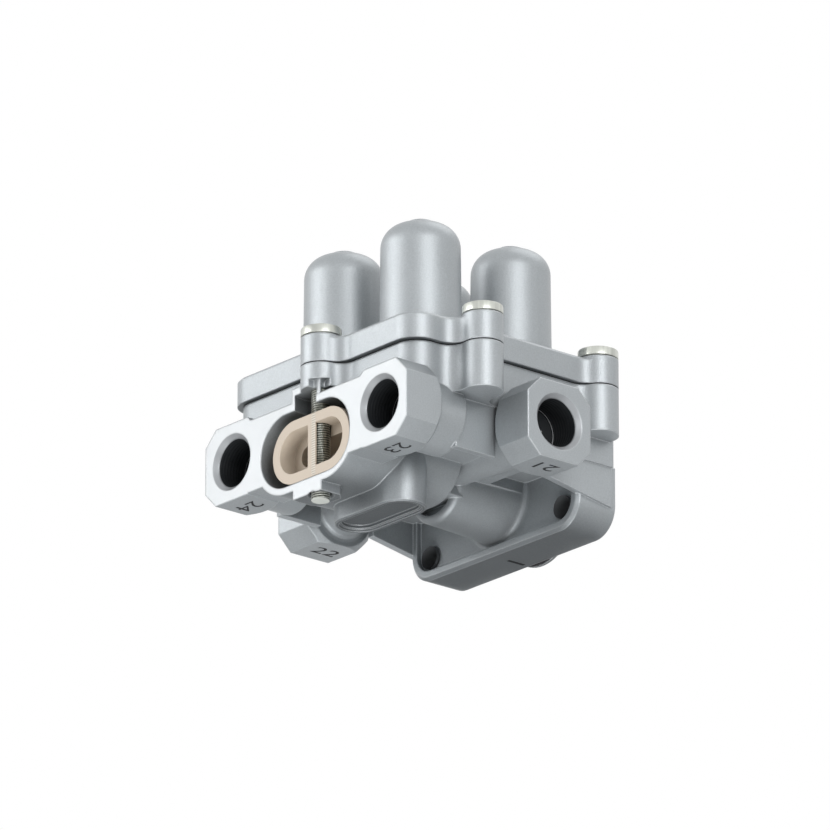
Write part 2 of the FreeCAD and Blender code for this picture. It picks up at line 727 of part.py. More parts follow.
# port 1 inlet, cross gallery and the two feed galleries
tools.append(rod("inlet", "inlet_rad", f"inlet_deep + spigot_out + {OVER}",
                 ("0", "-inlet_deep", "0"), "+Y"))
tools.append(rod("cross_gallery", "gallery_rad", "dome_pitch",
                 ("-dome_pitch / 2", "-grid_back + cross_behind", "deck - gallery_drop"), "+X"))
for side, x in (("right", "dome_pitch / 2"), ("left", "-dome_pitch / 2")):
    tools.append(rod("feed_gallery_" + side, "gallery_rad", "dome_pitch",
                     (x, "-grid_back - dome_pitch / 2", "deck - gallery_drop"), "+Y"))
    tools.append(rod("bolt_hole_" + side, "bolt_rad", "flange_thick + flange_rim + 2 * sink",
                     ("bolt_x" if side == "right" else "-bolt_x",
                      "-flange_thick - flange_rim - sink",
                      "deck - bolt_drop"), "+Y"))
    sign = "" if side == "right" else "-"
    inward = "-X" if side == "right" else "+X"
    for kind, at, along in (
            ("front", (f"{sign}front_port_x", FACE_Y, "deck - front_port_drop"), "+Y"),
            ("side", (f"{sign}side_face", "-grid_back + side_port_behind",
                      "deck - side_port_drop"), inward)):
        tools.append(rod(f"{kind}_thread_{side}", "port_rad", "port_deep", at, along))
        tools.append(cone(f"{kind}_mouth_{side}", "port_mouth", "port_rad",
                          "port_mouth - port_rad", at, along))


def drilling(name, start, end):
    """A slanting drilled way between two points, each a triple of formulas."""
    first = V(*[val(text) for text in start])
    last = V(*[val(text) for text in end])
    hole = doc.addObject("Part::Feature", name)
    hole.Shape = Part.makeCylinder(val("drill_rad"), (last - first).Length, first, last - first)
    return hole


# each port's way up into the ring chamber of its circuit
reach = "(seat_rad + bore_rad) / 2"
landing = "deck - chamber_drop + drill_rise"
for circuit, (x, y) in CIRCUITS.items():
    sign = "" if circuit in ("21", "23") else "-"
    if circuit in ("21", "22"):
        start = (f"{sign}(side_face - port_deep + sink)", "-grid_back + side_port_behind",
                 "deck - side_port_drop")
        end = (f"{x} {'+' if not sign else '-'} {reach} * sqrt(0.5)",
               f"{y} - {reach} * sqrt(0.5)", landing)
    else:
        start = (f"{sign}front_port_x", f"{FACE_Y} + port_deep - sink", "deck - front_port_drop")
        end = (f"{x} {'+' if not sign else '-'} {reach}", y, landing)
    tools.append(drilling("drilling_" + circuit, start, end))
# groove for the port 1 seal ring
groove = cut("ring_groove",
             rod("groove_out", f"spigot_rad + {OVER}", "groove_wide", ("0", "groove_start", "0"), "+Y"),
             rod("groove_in", "spigot_rad - groove_deep", "groove_wide",
                 ("0", "groove_start", "0"), "+Y"))
tools.append(groove)
finish("body", cut("body_cast", blank, *tools))
finish("port_1_o_ring", ring("seal_ring", "spigot_rad - groove_deep + ring_rad + ring_play",
                             "ring_rad", ("0", "groove_start + groove_wide / 2", "0"), "+Y"))


# Screws
def screw(name, x, y, tip_drop):
    """A cylinder-head screw with a hexagon socket, its head seated on the cover boss."""
    head = rod(name + "_head", "head_rad", "head_height", (x, y, "deck + boss_rise"))
    head = bevelled(name + "_head_bevel", head, "head_bevel",
                    lambda e: at_level(e, 2, val("deck + boss_rise + head_height")))
    shank = rod(name + "_shank", "screw_rad", f"boss_rise + {tip_drop}",
                (x, y, f"deck - {tip_drop}"))
    shank = bevelled(name + "_shank_bevel", shank, "tip_bevel",
                     lambda e: at_level(e, 2, val(f"deck - {tip_drop}")))
    corners = [(f"socket_width / 1.7320508 * {math.cos(math.radians(60 * k)):.7f}",
                f"socket_width / 1.7320508 * {math.sin(math.radians(60 * k)):.7f}")
               for k in range(6)]
    socket = prism(name + "_socket", corners, "socket_deep",
                   (x, y, "deck + boss_rise + head_height - socket_deep"), "+Z")
    return cut(name, fuse(name + "_blank", head, shank), socket)


finish("long_screw", screw("front_screw", *FRONT_SCREW, "tip_drop"))
group = doc.addObject("Part::Compound", "short_screws")
group.Links = [screw(f"short_screw_{i}", x, y, "short_reach")
               for i, (x, y) in enumerate(SHORT_SCREWS)]
finish("cover_screws", group)

# Moulded insert: an obround cup with a stepped pocket and an upright rib
cup = stadium("insert_cup", "insert_half", "insert_rad", "insert_deep",
              ("insert_x", FACE_Y, INSERT_Z), "+Y")
outer = stadium("insert_outer", "insert_half - insert_wall", "insert_rad - insert_wall",
                "insert_step", ("insert_x", FACE_Y, INSERT_Z), "+Y")
inner = stadium("insert_inner", "insert_half - insert_wall - insert_ledge",
                "insert_rad - insert_wall - insert_ledge", "insert_deep - insert_floor",
                ("insert_x", FACE_Y, INSERT_Z), "+Y")
rib = box("insert_rib", "front_screw_x - rib_width / 2", "front_screw_x + rib_width / 2",
          FACE_Y, f"{FACE_Y} + rib_deep", f"{INSERT_Z} - insert_rad + insert_wall / 2",
          f"{INSERT_Z} + insert_rad - insert_wall / 2")
passage = rod("insert_passage", "screw_rad + insert_play / 2", "plate_boss_drop",
              (*FRONT_SCREW, "deck - plate_boss_drop"))
shape = cut("insert_hollow", cup, outer, inner, passage)
finish("vent_insert", fuse("insert", shape, rib))

# Inner valve of each circuit
SEAT_Z = "deck - seat_drop"
for circuit, (x, y) in CIRCUITS.items():
    finish("valve_disc_" + circuit,
           rod("disc_" + circuit, "disc_rad", "disc_thick", (x, y, SEAT_Z)))
    low = "disc_thick"
    skirt = "seat_drop - piston_base"
    crown = f"({skirt} + piston_height)"
    wide = "bore_rad - piston_play"
    groove_low = f"{crown} - ring_land - 2 * ring_wire"
    groove_high = f"{crown} - ring_land"
    cup = "spring_rad - spring_wire - cup_play"
    profile = [
        ("0", low), ("disc_rad", low), ("disc_rad", skirt), (wide, f"{skirt} + piston_lead"),
        (wide, groove_low), (f"{wide} - 2 * ring_wire", groove_low),
        (f"{wide} - 2 * ring_wire", groove_high), (wide, groove_high), (wide, crown),
        (cup, crown), (cup, f"{crown} + spring_cup"),
        ("0", f"{crown} + spring_cup"),
    ]
    finish("piston_" + circuit, turned("piston_" + circuit, profile, (x, y, SEAT_Z)))
    finish("piston_ring_" + circuit,
           ring("ring_" + circuit, f"{wide} - ring_wire", "ring_wire",
                (x, y, f"{SEAT_Z} + {crown} - ring_land - ring_wire")))
    top = f"deck + {BORE_HEIGHT}"
    plate_profile = [
        ("0", "0"), (cup, "0"), (cup, "spring_cup"),
        ("spring_rad + spring_wire", "spring_cup"),
        ("plate_flat", "spring_cup + plate_thick"), ("0", "spring_cup + plate_thick"),
    ]
    finish("spring_plate_" + circuit,
           turned("plate_" + circuit, plate_profile,
                  (x, y, f"{top} - spring_cup - plate_thick")))
    length = f"{top} - plate_thick - ({SEAT_Z} + {crown})"
    helix = doc.addObject("Part::Helix", "helix_" + circuit)
    bind(helix, Height=f"{length} - 2 * spring_wire", Radius="spring_rad",
         Pitch=f"({length} - 2 * spring_wire) / spring_turns")
    place(helix, x, y, f"{SEAT_Z} + {crown} + spring_wire")
    wire = doc.addObject("Part::RegularPolygon", "wire_" + circuit)
    wire.Polygon = WIRE_FLATS
    bind(wire, Circumradius="spring_wire")
    wire.Placement = FreeCAD.Placement(V(), FreeCAD.Rotation(V(1, 0, 0), 90))
    place(wire, f"{x} + spring_rad", y, f"{SEAT_Z} + {crown} + spring_wire")
    coil = doc.addObject("Part::Sweep", "coil_" + circuit)
    doc.recompute()
    coil.Sections = [wire]
    coil.Spine = (helix, ["Edge1"])
    coil.Solid = True
    coil.Frenet = True
    finish("spring_" + circuit, coil)

doc.recompute()

# Every object has to be sound before anything is written
for obj in doc.Objects:
    if "Invalid" in obj.State or "Error" in obj.State:
        raise RuntimeError(f"{obj.Name} failed: {obj.State}")
for name, obj in NODES.items():
    if obj.Shape.isNull() or not obj.Shape.isValid():
        raise RuntimeError(f"{name} has no valid shape")
for name, obj in NODES.items():
    obj.Shape.exportStep(f"parts/{name}.step")
    print(f"{name}: {len(obj.Shape.Solids)} solid(s), {obj.Shape.Volume / 1000:.2f} cm3")
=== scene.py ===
# %% [markdown]
# # A four-circuit protection valve, dressed for the studio
# The valve shares the air of a lorry's brake system between four circuits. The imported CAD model
# gives every casting, screw and spring its true place. This lesson gives the parts their
# finishes, cuts real threads, adds the cast numbers, and lights the valve as in a catalogue.

# %% Load the frame
import math

import bpy
import numpy as np
from mathutils import Matrix, Vector


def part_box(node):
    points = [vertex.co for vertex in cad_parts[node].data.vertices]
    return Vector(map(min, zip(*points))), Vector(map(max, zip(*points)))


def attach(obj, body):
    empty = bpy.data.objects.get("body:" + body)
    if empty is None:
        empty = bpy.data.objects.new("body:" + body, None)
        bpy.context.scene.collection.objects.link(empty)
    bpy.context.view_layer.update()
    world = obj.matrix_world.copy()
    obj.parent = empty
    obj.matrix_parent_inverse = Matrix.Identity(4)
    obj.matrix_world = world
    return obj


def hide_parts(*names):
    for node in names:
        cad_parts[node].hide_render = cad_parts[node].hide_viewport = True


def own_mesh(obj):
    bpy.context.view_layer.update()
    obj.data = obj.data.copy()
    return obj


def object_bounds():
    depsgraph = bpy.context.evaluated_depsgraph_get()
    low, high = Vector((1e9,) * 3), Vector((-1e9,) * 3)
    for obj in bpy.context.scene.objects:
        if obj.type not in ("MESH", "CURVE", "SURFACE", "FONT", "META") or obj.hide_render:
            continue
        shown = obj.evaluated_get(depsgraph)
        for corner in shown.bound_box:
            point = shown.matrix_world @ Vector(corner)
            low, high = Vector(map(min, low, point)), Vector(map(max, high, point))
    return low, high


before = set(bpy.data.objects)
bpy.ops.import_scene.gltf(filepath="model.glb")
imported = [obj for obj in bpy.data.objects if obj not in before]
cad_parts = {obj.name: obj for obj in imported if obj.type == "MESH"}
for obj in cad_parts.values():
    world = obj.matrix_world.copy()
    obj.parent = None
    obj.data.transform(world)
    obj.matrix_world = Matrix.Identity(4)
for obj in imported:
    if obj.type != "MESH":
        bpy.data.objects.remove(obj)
bpy.ops.object.select_all(action="DESELECT")
CAD_BOX = [list(corner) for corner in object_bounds()]
MM = 0.001
HOUSING = "housing"
CIRCUITS = ("21", "22", "23", "24")
print("nodes:", len(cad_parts), "box:", CAD_BOX)

# %% [markdown]
# ## Places that the pieces share
# The frame's origin is on the port 1 axis, in the plane of the mounting flange. The tops and
# tips of the screws are read from the boxes of their CAD nodes. Their places in plan, and the
# faces and directions of the ports in their octagons, can't be read from a box, so they are
# written down here once.

# %% Places
PORT_FACES = {
    "21": (Vector((78.8, -53.0, 5.8)) * MM, Vector((1, 0, 0))),
    "22": (Vector((-78.8, -53.0, 5.8)) * MM, Vector((-1, 0, 0))),
    "23": (Vector((46.8, -121.3, 6.8)) * MM, Vector((0, -1, 0))),
    "24": (Vector((-46.8, -121.3, 6.8)) * MM, Vector((0, -1, 0))),
}
PORT_RADIUS = 10.2 * MM
PORT_DEPTH = 16.0 * MM
OCTAGON_HALF = 16.7 * MM
FRONT_Y = -121.3 * MM
SCREW_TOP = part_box("long_screw")[1].z
SCREW_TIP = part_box("long_screw")[0].z
SHORT_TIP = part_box("cover_screws")[0].z
SEAT_Z = 47.0 * MM
HEAD_RADIUS = 8.4 * MM
FRONT_SCREW = (4.2 * MM, -116.3 * MM)
SHORT_SCREWS = [(67.2 * MM, -83.8 * MM), (-67.2 * MM, -83.8 * MM), (57.4 * MM, -13.2 * MM),
                (-57.4 * MM, -13.2 * MM), (0.0, -10.8 * MM)]
VALVE_MIDDLE = Vector((0, -0.056, 0.035))
print("screw heads seat at", SEAT_Z, "and end at", SCREW_TOP)

# %% [markdown]
# ## Surfaces from two parameters
# Every new piece is a grid of points worked out with numpy: one parameter runs round the piece
# and the other along its profile. The grid's quads are joined by index arithmetic, so no loop
# walks over the vertices, and the whole mesh is handed to Blender at once. Blender's own Screw
# modifier could turn these pieces too, but a formula puts a thread's ends, a bevel and a hexagon
# socket into one closed mesh.

# %% Grid to mesh
def grid_faces(rows, columns, closed):
    """Quads between neighbouring points of a grid; closed joins the last column to the first."""
    across = columns if closed else columns - 1
    i, j = np.meshgrid(np.arange(rows - 1), np.arange(across), indexing="ij")
    right = (j + 1) % columns
    return np.stack([i * columns + j, i * columns + right,
                     (i + 1) * columns + right, (i + 1) * columns + j], axis=-1).reshape(-1, 4)


def make_piece(name, points, faces, smooth=True):
    """A mesh object at the origin, with its place in its mesh."""
    mesh = bpy.data.meshes.new(name)
    mesh.from_pydata(points.reshape(-1, 3), [], [tuple(face) for face in faces.tolist()])
    mesh.polygons.foreach_set("use_smooth", np.full(len(mesh.polygons), smooth))
    mesh.update()
    piece = bpy.data.objects.new(name, mesh)
    bpy.context.scene.collection.objects.link(piece)
    return piece


def sharpen(piece, degrees):
    """Splits the shading where two faces meet at more than an angle."""
    bpy.context.view_layer.objects.active = piece
    piece.select_set(True)
    bpy.ops.object.shade_smooth_by_angle(angle=math.radians(degrees), keep_sharp_edges=True)
    piece.select_set(False)


def join(name, pieces):
    """Several pieces as one object."""
    for piece in pieces:
        piece.select_set(True)
    bpy.context.view_layer.objects.active = pieces[0]
    bpy.ops.object.join()
    pieces[0].select_set(False)
    pieces[0].name = name
    return pieces[0]


print("a 3 by 4 closed grid has", len(grid_faces(3, 4, True)), "quads")

# %% [markdown]
# ## Finishes as node groups
# A die casting is matt and finely pitted, with faint clouds where the metal cooled. Machined
# faces show tool marks, and plated screws are smooth. Noise at two scales gives the clouds and
# the pits, and one group serves every metal and plastic here with its own values.

# %% Node helpers
def new_group(name, inputs, outputs):
    """An empty shader node group with named sockets, and its two end nodes."""
    group = bpy.data.node_groups.new(name, "ShaderNodeTree")
    for label, kind, value in inputs:
        socket = group.interface.new_socket(name=label, in_out="INPUT", socket_type=kind)
        if value is not None:
            socket.default_value = value
    for label, kind in outputs:
        group.interface.new_socket(name=label, in_out="OUTPUT", socket_type=kind)
    return group, group.nodes.new("NodeGroupInput"), group.nodes.new("NodeGroupOutput")


def math_node(tree, kind, first, second=None, third=None, clamp=False):
    """A Math node whose inputs are sockets or numbers."""
    node = tree.nodes.new("ShaderNodeMath")
    node.operation = kind
    node.use_clamp = clamp
    for socket, value in zip(node.inputs, (first, second, third)):
        if value is None:
            continue
        if isinstance(value, (int, float)):
            socket.default_value = value
        else:
            tree.links.new(value, socket)
    return node.outputs[0]


def noise_node(tree, vector, scale, detail=2.0, roughness=0.5):
    """Noise between 0 and 1 at a scale per metre."""
    node = tree.nodes.new("ShaderNodeTexNoise")
    node.inputs["Detail"].default_value = detail
    node.inputs["Roughness"].default_value = roughness
    tree.links.new(vector, node.inputs["Vector"])
    if isinstance(scale, (int, float)):
        node.inputs["Scale"].default_value = scale
    else:
        tree.links.new(scale, node.inputs["Scale"])
    return node.outputs["Fac"]


def mix_colour(tree, factor, first, second):
    """A blend of two colours by a factor."""
    node = tree.nodes.new("ShaderNodeMix")
    node.data_type = "RGBA"
    for socket, value in zip((node.inputs[0], node.inputs[6], node.inputs[7]),
                             (factor, first, second)):
        if isinstance(value, (int, float, tuple)):
            socket.default_value = value
        else:
            tree.links.new(value, socket)
    return node.outputs[2]


print("node helpers ready")

# %% [markdown]
# The first group is the skin. A painted picture could show the same spots, but noise on the
# object's own coordinates needs no picture file, and it has the same grain on pieces of any size.

# %% Skin group
CLOUD_NOISE = (4.0, 0.6)  # detail and roughness of a noise
GRAIN_NOISE = (3.0, 0.7)


def build_skin():
    """Clouded colour, varied roughness and a fine grain height.

    Colour = base colour times (1 + clouds * noise + speckle * fine noise); roughness = base +
    spread * noise; height = fine noise at the grain's scale.
    """
    group, start, end = new_group("clouded_skin", [
        ("Vector", "NodeSocketVector", None),
        ("Color", "NodeSocketColor", (0.5, 0.5, 0.5, 1)),
        ("Clouds", "NodeSocketFloat", 0.1),
        ("Cloud Scale", "NodeSocketFloat", 60.0),
        ("Speckle", "NodeSocketFloat", 0.1),
        ("Roughness", "NodeSocketFloat", 0.4),
        ("Spread", "NodeSocketFloat", 0.1),
        ("Grain Scale", "NodeSocketFloat", 2500.0),
    ], [("Color", "NodeSocketColor"), ("Roughness", "NodeSocketFloat"),
        ("Height", "NodeSocketFloat")])
    cloud = noise_node(group, start.outputs["Vector"], start.outputs["Cloud Scale"], *CLOUD_NOISE)
    grain = noise_node(group, start.outputs["Vector"], start.outputs["Grain Scale"], *GRAIN_NOISE)
    centred = math_node(group, "SUBTRACT", cloud, 0.5)
    fine = math_node(group, "SUBTRACT", grain, 0.5)
    lift = math_node(group, "MULTIPLY", centred, start.outputs["Clouds"])
    spots = math_node(group, "MULTIPLY", fine, start.outputs["Speckle"])
    gain = math_node(group, "ADD", math_node(group, "ADD", lift, spots), 1.0)
    scale = group.nodes.new("ShaderNodeVectorMath")
    scale.operation = "SCALE"
    group.links.new(start.outputs["Color"], scale.inputs[0])
    group.links.new(gain, scale.inputs["Scale"])
    group.links.new(scale.outputs[0], end.inputs["Color"])
    spread = math_node(group, "MULTIPLY", centred, start.outputs["Spread"])
    rough = math_node(group, "ADD", spread, start.outputs["Roughness"], clamp=True)
    group.links.new(rough, end.inputs["Roughness"])
    group.links.new(grain, end.inputs["Height"])
    return group


SKIN = build_skin()
print("skin group sockets:", len(SKIN.interface.items_tree))

# %% [markdown]
# The rounded edges and the fillets between the walls of a casting catch the light as pale lines,
# and these highlights are painted into the colour. A Bevel node already turns the shading normal
# near an edge, so the gap between its normal and the true one is a ready mask of edges and
# fillets. Deep corners get painted shade, and an Ambient Occlusion node finds those.

# %% Edge group
# The gain below scales the painted highlight on edges; the share and power below shape the
# painted shade in deep corners.
HIGHLIGHT_GAIN = 3.6
EDGE_SAMPLES = 6
SHADE_MOST = 0.6  # the film never covers more than this share of the metal's colour
SHADE_POWER = 1.5


def build_edge_light_and_shade():
    """Rounded normal and two masks: painted highlight = gain * (1 - rounded normal . true
    normal), and painted shade in corners = most * (share of the sky that is hidden within a
    reach) to a power."""
    group, start, end = new_group("painted_edge_light_and_corner_shade", [
        ("Radius", "NodeSocketFloat", 0.0005),
        ("Gain", "NodeSocketFloat", 4.0),
        ("Reach", "NodeSocketFloat", 0.014),
    ], [("Normal", "NodeSocketVector"), ("Mask", "NodeSocketFloat"),
        ("Painted Shade", "NodeSocketFloat")])
    soft = group.nodes.new("ShaderNodeBevel")
    soft.samples = EDGE_SAMPLES
    group.links.new(start.outputs["Radius"], soft.inputs["Radius"])
    geometry = group.nodes.new("ShaderNodeNewGeometry")
    dot = group.nodes.new("ShaderNodeVectorMath")
    dot.operation = "DOT_PRODUCT"
    group.links.new(soft.outputs["Normal"], dot.inputs[0])
    group.links.new(geometry.outputs["Normal"], dot.inputs[1])
    gap = math_node(group, "SUBTRACT", 1.0, dot.outputs["Value"])
    mask = math_node(group, "MULTIPLY", gap, start.outputs["Gain"], clamp=True)
    hidden = group.nodes.new("ShaderNodeAmbientOcclusion")
    hidden.samples = EDGE_SAMPLES
    group.links.new(start.outputs["Reach"], hidden.inputs["Distance"])
    covered = math_node(group, "SUBTRACT", 1.0, hidden.outputs["AO"], clamp=True)
    deep = math_node(group, "POWER", covered, SHADE_POWER)
    corner_shade = math_node(group, "MULTIPLY", deep, SHADE_MOST, clamp=True)
    group.links.new(soft.outputs["Normal"], end.inputs["Normal"])
    group.links.new(mask, end.inputs["Mask"])
    group.links.new(corner_shade, end.inputs["Painted Shade"])
    return group


EDGE_LIGHT_AND_SHADE = build_edge_light_and_shade()
print("edge group sockets:", len(EDGE_LIGHT_AND_SHADE.interface.items_tree))

# %% [markdown]
# Every finish is then one Principled material with these groups in it. A separate network for
# each finish would drift apart as it is worked on; one function with named values keeps them
# alike, and a new finish is one line.

# %% Material helper
def finish_material(name, colour, metallic, roughness, clouds=0.1, spread=0.1, grain=2500.0,
                    bump=0.02, edge=0.0, highlight_colour=(0.62, 0.65, 0.67), cloud_scale=60.0,
                    speckle=0.1, corner_shade_colour=(0.04, 0.044, 0.048)):
    """A Principled material whose colour, roughness and bump come from the skin group, with a
    painted highlight on edges and painted shade in corners where an edge radius in millimetres is
    given."""
    material = bpy.data.materials.new(name)
    material.use_nodes = True
    tree = material.node_tree
    shader = tree.nodes["Principled BSDF"]
    coords = tree.nodes.new("ShaderNodeTexCoord")
    skin = tree.nodes.new("ShaderNodeGroup")
    skin.node_tree = SKIN
    tree.links.new(coords.outputs["Object"], skin.inputs["Vector"])
    for label, value in (("Color", (*colour, 1)), ("Clouds", clouds), ("Roughness", roughness),
                         ("Spread", spread), ("Grain Scale", grain),
                         ("Cloud Scale", cloud_scale), ("Speckle", speckle)):
        skin.inputs[label].default_value = value
    relief = tree.nodes.new("ShaderNodeBump")
    relief.inputs["Strength"].default_value = 1.0
    relief.inputs["Distance"].default_value = bump * MM
    tree.links.new(skin.outputs["Height"], relief.inputs["Height"])
    surface = skin.outputs["Color"]
    if edge:
        edges = tree.nodes.new("ShaderNodeGroup")
        edges.node_tree = EDGE_LIGHT_AND_SHADE
        edges.inputs["Radius"].default_value = edge * MM
        edges.inputs["Gain"].default_value = HIGHLIGHT_GAIN
        tree.links.new(edges.outputs["Normal"], relief.inputs["Normal"])
        # Painted shade in deep corners, then a painted highlight on edges and fillets.
        surface = mix_colour(tree, edges.outputs["Painted Shade"], surface, (*corner_shade_colour, 1))
        surface = mix_colour(tree, edges.outputs["Mask"], surface, (*highlight_colour, 1))
    tree.links.new(surface, shader.inputs["Base Color"])
    tree.links.new(skin.outputs["Roughness"], shader.inputs["Roughness"])
    tree.links.new(relief.outputs["Normal"], shader.inputs["Normal"])
    shader.inputs["Metallic"].default_value = metallic
    return material


def dress(node, material):
    """Gives a CAD node one material."""
    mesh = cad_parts[node].data
    mesh.materials.clear()
    mesh.materials.append(material)


print("every finish uses", SKIN.name, "and, where it has edges,", EDGE_LIGHT_AND_SHADE.name)

# %% [markdown]
# ## The castings
# Housing and cover are aluminium die castings: matt, blue-grey, with a fine pitted skin and
# edges that are never quite sharp. Full metal would mirror the white studio and look polished,
# so the skin is only partly metallic.

# %% Cast aluminium
CAST_COLOUR = (0.375, 0.4, 0.416)
CAST_METALLIC = 0.6
CAST_ROUGHNESS = 0.4
# The castings get a painted highlight on edges and fillets and painted shade in deep corners.
cast = finish_material("cast_aluminium", CAST_COLOUR, CAST_METALLIC, CAST_ROUGHNESS,
                       clouds=0.12, spread=0.12, grain=1700.0, bump=0.1, edge=1.0,
                       cloud_scale=70.0, speckle=0.45)
dress("cover", cast)
print("cover dressed in", cast.name)

# %% [markdown]
# The front faces of ports 23 and 24 and the rim of the open pocket lie in one milled plane, and
# the mouth of each port is turned to a bevel. Their faces could be picked in the mesh and given
# a second material, but a CAD mesh is left alone. So a mask finds those places by their
# coordinates, and the housing keeps one material.

# %% Machined places
FACE_SLACK = 0.04 * MM
RING_DEPTH = 2.2 * MM
RING_RADIUS = 12.4 * MM


def vector_math(tree, kind, first, second):
    """A Vector Math node of a socket and a socket or constant; gives the node."""
    node = tree.nodes.new("ShaderNodeVectorMath")
    node.operation = kind
    tree.links.new(first, node.inputs[0])
    if isinstance(second, bpy.types.NodeSocket):
        tree.links.new(second, node.inputs[1])
    else:
        node.inputs[1].default_value = second
    return node


def build_machined():
    """Mask of the turned port mouths and of the milled plane.

    For a port: rim = (distance from its axis < ring radius) * (depth under its face < ring
    depth); for the plane: milled = (|y - plane| < slack).
    """
    group, start, end = new_group("machined_places", [("Vector", "NodeSocketVector", None)],
                                  [("Rims", "NodeSocketFloat"), ("Milled", "NodeSocketFloat")])
    rims = None
    for face, outward in PORT_FACES.values():
        offset = vector_math(group, "SUBTRACT", start.outputs["Vector"], tuple(face))
        height = vector_math(group, "DOT_PRODUCT", offset.outputs[0], tuple(outward))
        flat = vector_math(group, "MULTIPLY", offset.outputs[0],
                           tuple(1 - abs(value) for value in outward))
        away = group.nodes.new("ShaderNodeVectorMath")
        away.operation = "LENGTH"
        group.links.new(flat.outputs[0], away.inputs[0])
        near = math_node(group, "LESS_THAN", away.outputs["Value"], RING_RADIUS)
        shallow = math_node(group, "GREATER_THAN", height.outputs["Value"], -RING_DEPTH)
        under = math_node(group, "LESS_THAN", height.outputs["Value"], -FACE_SLACK)
        rim = math_node(group, "MULTIPLY", math_node(group, "MULTIPLY", near, shallow), under)
        rims = rim if rims is None else math_node(group, "ADD", rims, rim, clamp=True)
    parts = group.nodes.new("ShaderNodeSeparateXYZ")
    group.links.new(start.outputs["Vector"], parts.inputs[0])
    level = math_node(group, "SUBTRACT", parts.outputs["Y"], FRONT_Y)
    milled = math_node(group, "LESS_THAN", math_node(group, "ABSOLUTE", level), FACE_SLACK)
    group.links.new(rims, end.inputs["Rims"])
    group.links.new(milled, end.inputs["Milled"])
    return group


MACHINED = build_machined()
print("machined places are found by", MACHINED.name)

# %% Housing
MILLED_COLOUR = (0.45, 0.468, 0.48)
RIM_COLOUR = (0.36, 0.375, 0.39)
MACHINED_ROUGHNESS = 0.38


def machine(material, group, milled_colour, rim_colour, smooth):
    """Blends the milled and turned finishes into a casting's material by the group's masks."""
    tree = material.node_tree
    shader = tree.nodes["Principled BSDF"]
    coords = tree.nodes.new("ShaderNodeTexCoord")
    places = tree.nodes.new("ShaderNodeGroup")
    places.node_tree = group
    tree.links.new(coords.outputs["Object"], places.inputs["Vector"])
    milled, rims = places.outputs["Milled"], places.outputs["Rims"]
    colour = shader.inputs["Base Color"].links[0].from_socket
    colour = mix_colour(tree, milled, colour, (*milled_colour, 1))
    colour = mix_colour(tree, rims, colour, (*rim_colour, 1))
    tree.links.new(colour, shader.inputs["Base Color"])
    either = math_node(tree, "ADD", milled, rims, clamp=True)
    rough = shader.inputs["Roughness"].links[0].from_socket
    step = math_node(tree, "MULTIPLY", either, smooth - CAST_ROUGHNESS)
    tree.links.new(math_node(tree, "ADD", rough, step, clamp=True), shader.inputs["Roughness"])


body_metal = cast.copy()
body_metal.name = "housing_aluminium"
machine(body_metal, MACHINED, MILLED_COLOUR, RIM_COLOUR, MACHINED_ROUGHNESS)
dress("body", body_metal)
print("housing dressed in", body_metal.name)

# %% [markdown]
# ## Rubber, plastic and the hidden pieces
# The gasket, the O-ring and the valve discs are black rubber. The insert in the open pocket is
# a cream moulding with a satin face, and the shade painted into its corners is brown instead of
# black. The springs, pistons and plates are out of sight, but they get their own finishes too,
# because the model can be taken apart.

# %% Plain finishes
rubber = finish_material("black_rubber", (0.012, 0.012, 0.013), 0.0, 0.6, bump=0.01)
gasket_sheet = finish_material("gasket_sheet", (0.02, 0.022, 0.024), 0.0, 0.75, bump=0.01)
# The insert's edges get a painted highlight, and its corners painted shade in brown.
cream = finish_material("cream_moulding", (0.54, 0.465, 0.38), 0.0, 0.5, clouds=0.05,
                        grain=3000.0, bump=0.012, edge=0.3, highlight_colour=(0.68, 0.6, 0.5),
                        corner_shade_colour=(0.36, 0.3, 0.23))
turned_metal = finish_material("turned_aluminium", (0.6, 0.61, 0.62), 1.0, 0.3, bump=0.005)
zinc_plate = finish_material("zinc_plate", (0.52, 0.53, 0.5), 1.0, 0.35, bump=0.005)
spring_wire = finish_material("spring_wire", (0.16, 0.16, 0.165), 1.0, 0.38, bump=0.004)
dress("cover_gasket", gasket_sheet)
dress("port_1_o_ring", rubber)
dress("vent_insert", cream)
for circuit in CIRCUITS:
    dress("valve_disc_" + circuit, rubber)
    dress("piston_ring_" + circuit, rubber)
    dress("piston_" + circuit, turned_metal)
    dress("spring_plate_" + circuit, zinc_plate)
    dress("spring_" + circuit, spring_wire)
print("inner pieces dressed for", CIRCUITS)

# %% [markdown]
# ## The screws
# Six cylinder-head screws hold the cover. Each is one surface of revolution, apart from its
# hexagon socket, where the radius depends on the angle. The front screw runs down through the
# open pocket, where its thread is in plain view. A bump map would leave its outline smooth, so
# its shank is a true helical ridge: the radius rises and falls with height minus the angle's
# share of one pitch. Each point also keeps how deep in the thread it lies, and shade is painted
# into the plating there, darker the deeper the point.

# %% Screw sizes
THREAD_PITCH = 1.0 * MM
THREAD_DEPTH = 0.55 * MM
SHANK_RADIUS = 4.0 * MM
WASHER_RADIUS = 7.0 * MM
WASHER_HEIGHT = 0.4 * MM
SOCKET_HALF = 3.0 * MM
SOCKET_DEEP = 3.0 * MM
AROUND = 64
ROWS_PER_TURN = 10
TIP_CHAMFER = 0.4 * MM
RUN_IN = 0.9 * MM
RUN_IN_LEAST = 0.8
RUN_OUT = 1.0 * MM
NECK = (0.02 * MM, 0.2 * MM)  # how far the shank steps in, and over what height
SEAT_GAP = 0.02 * MM
HEAD_BEVEL = 0.25 * MM
HEAD_ROUND = ((0.0, 0.5 * MM), (0.15 * MM, 0.15 * MM), (0.5 * MM, 0.0))  # inwards, down
SOCKET_MOUTH = ((4.3 * MM, 0.0), (3.75 * MM, 0.35 * MM))  # radius, down
SOCKET_EDGE = 0.5 * MM
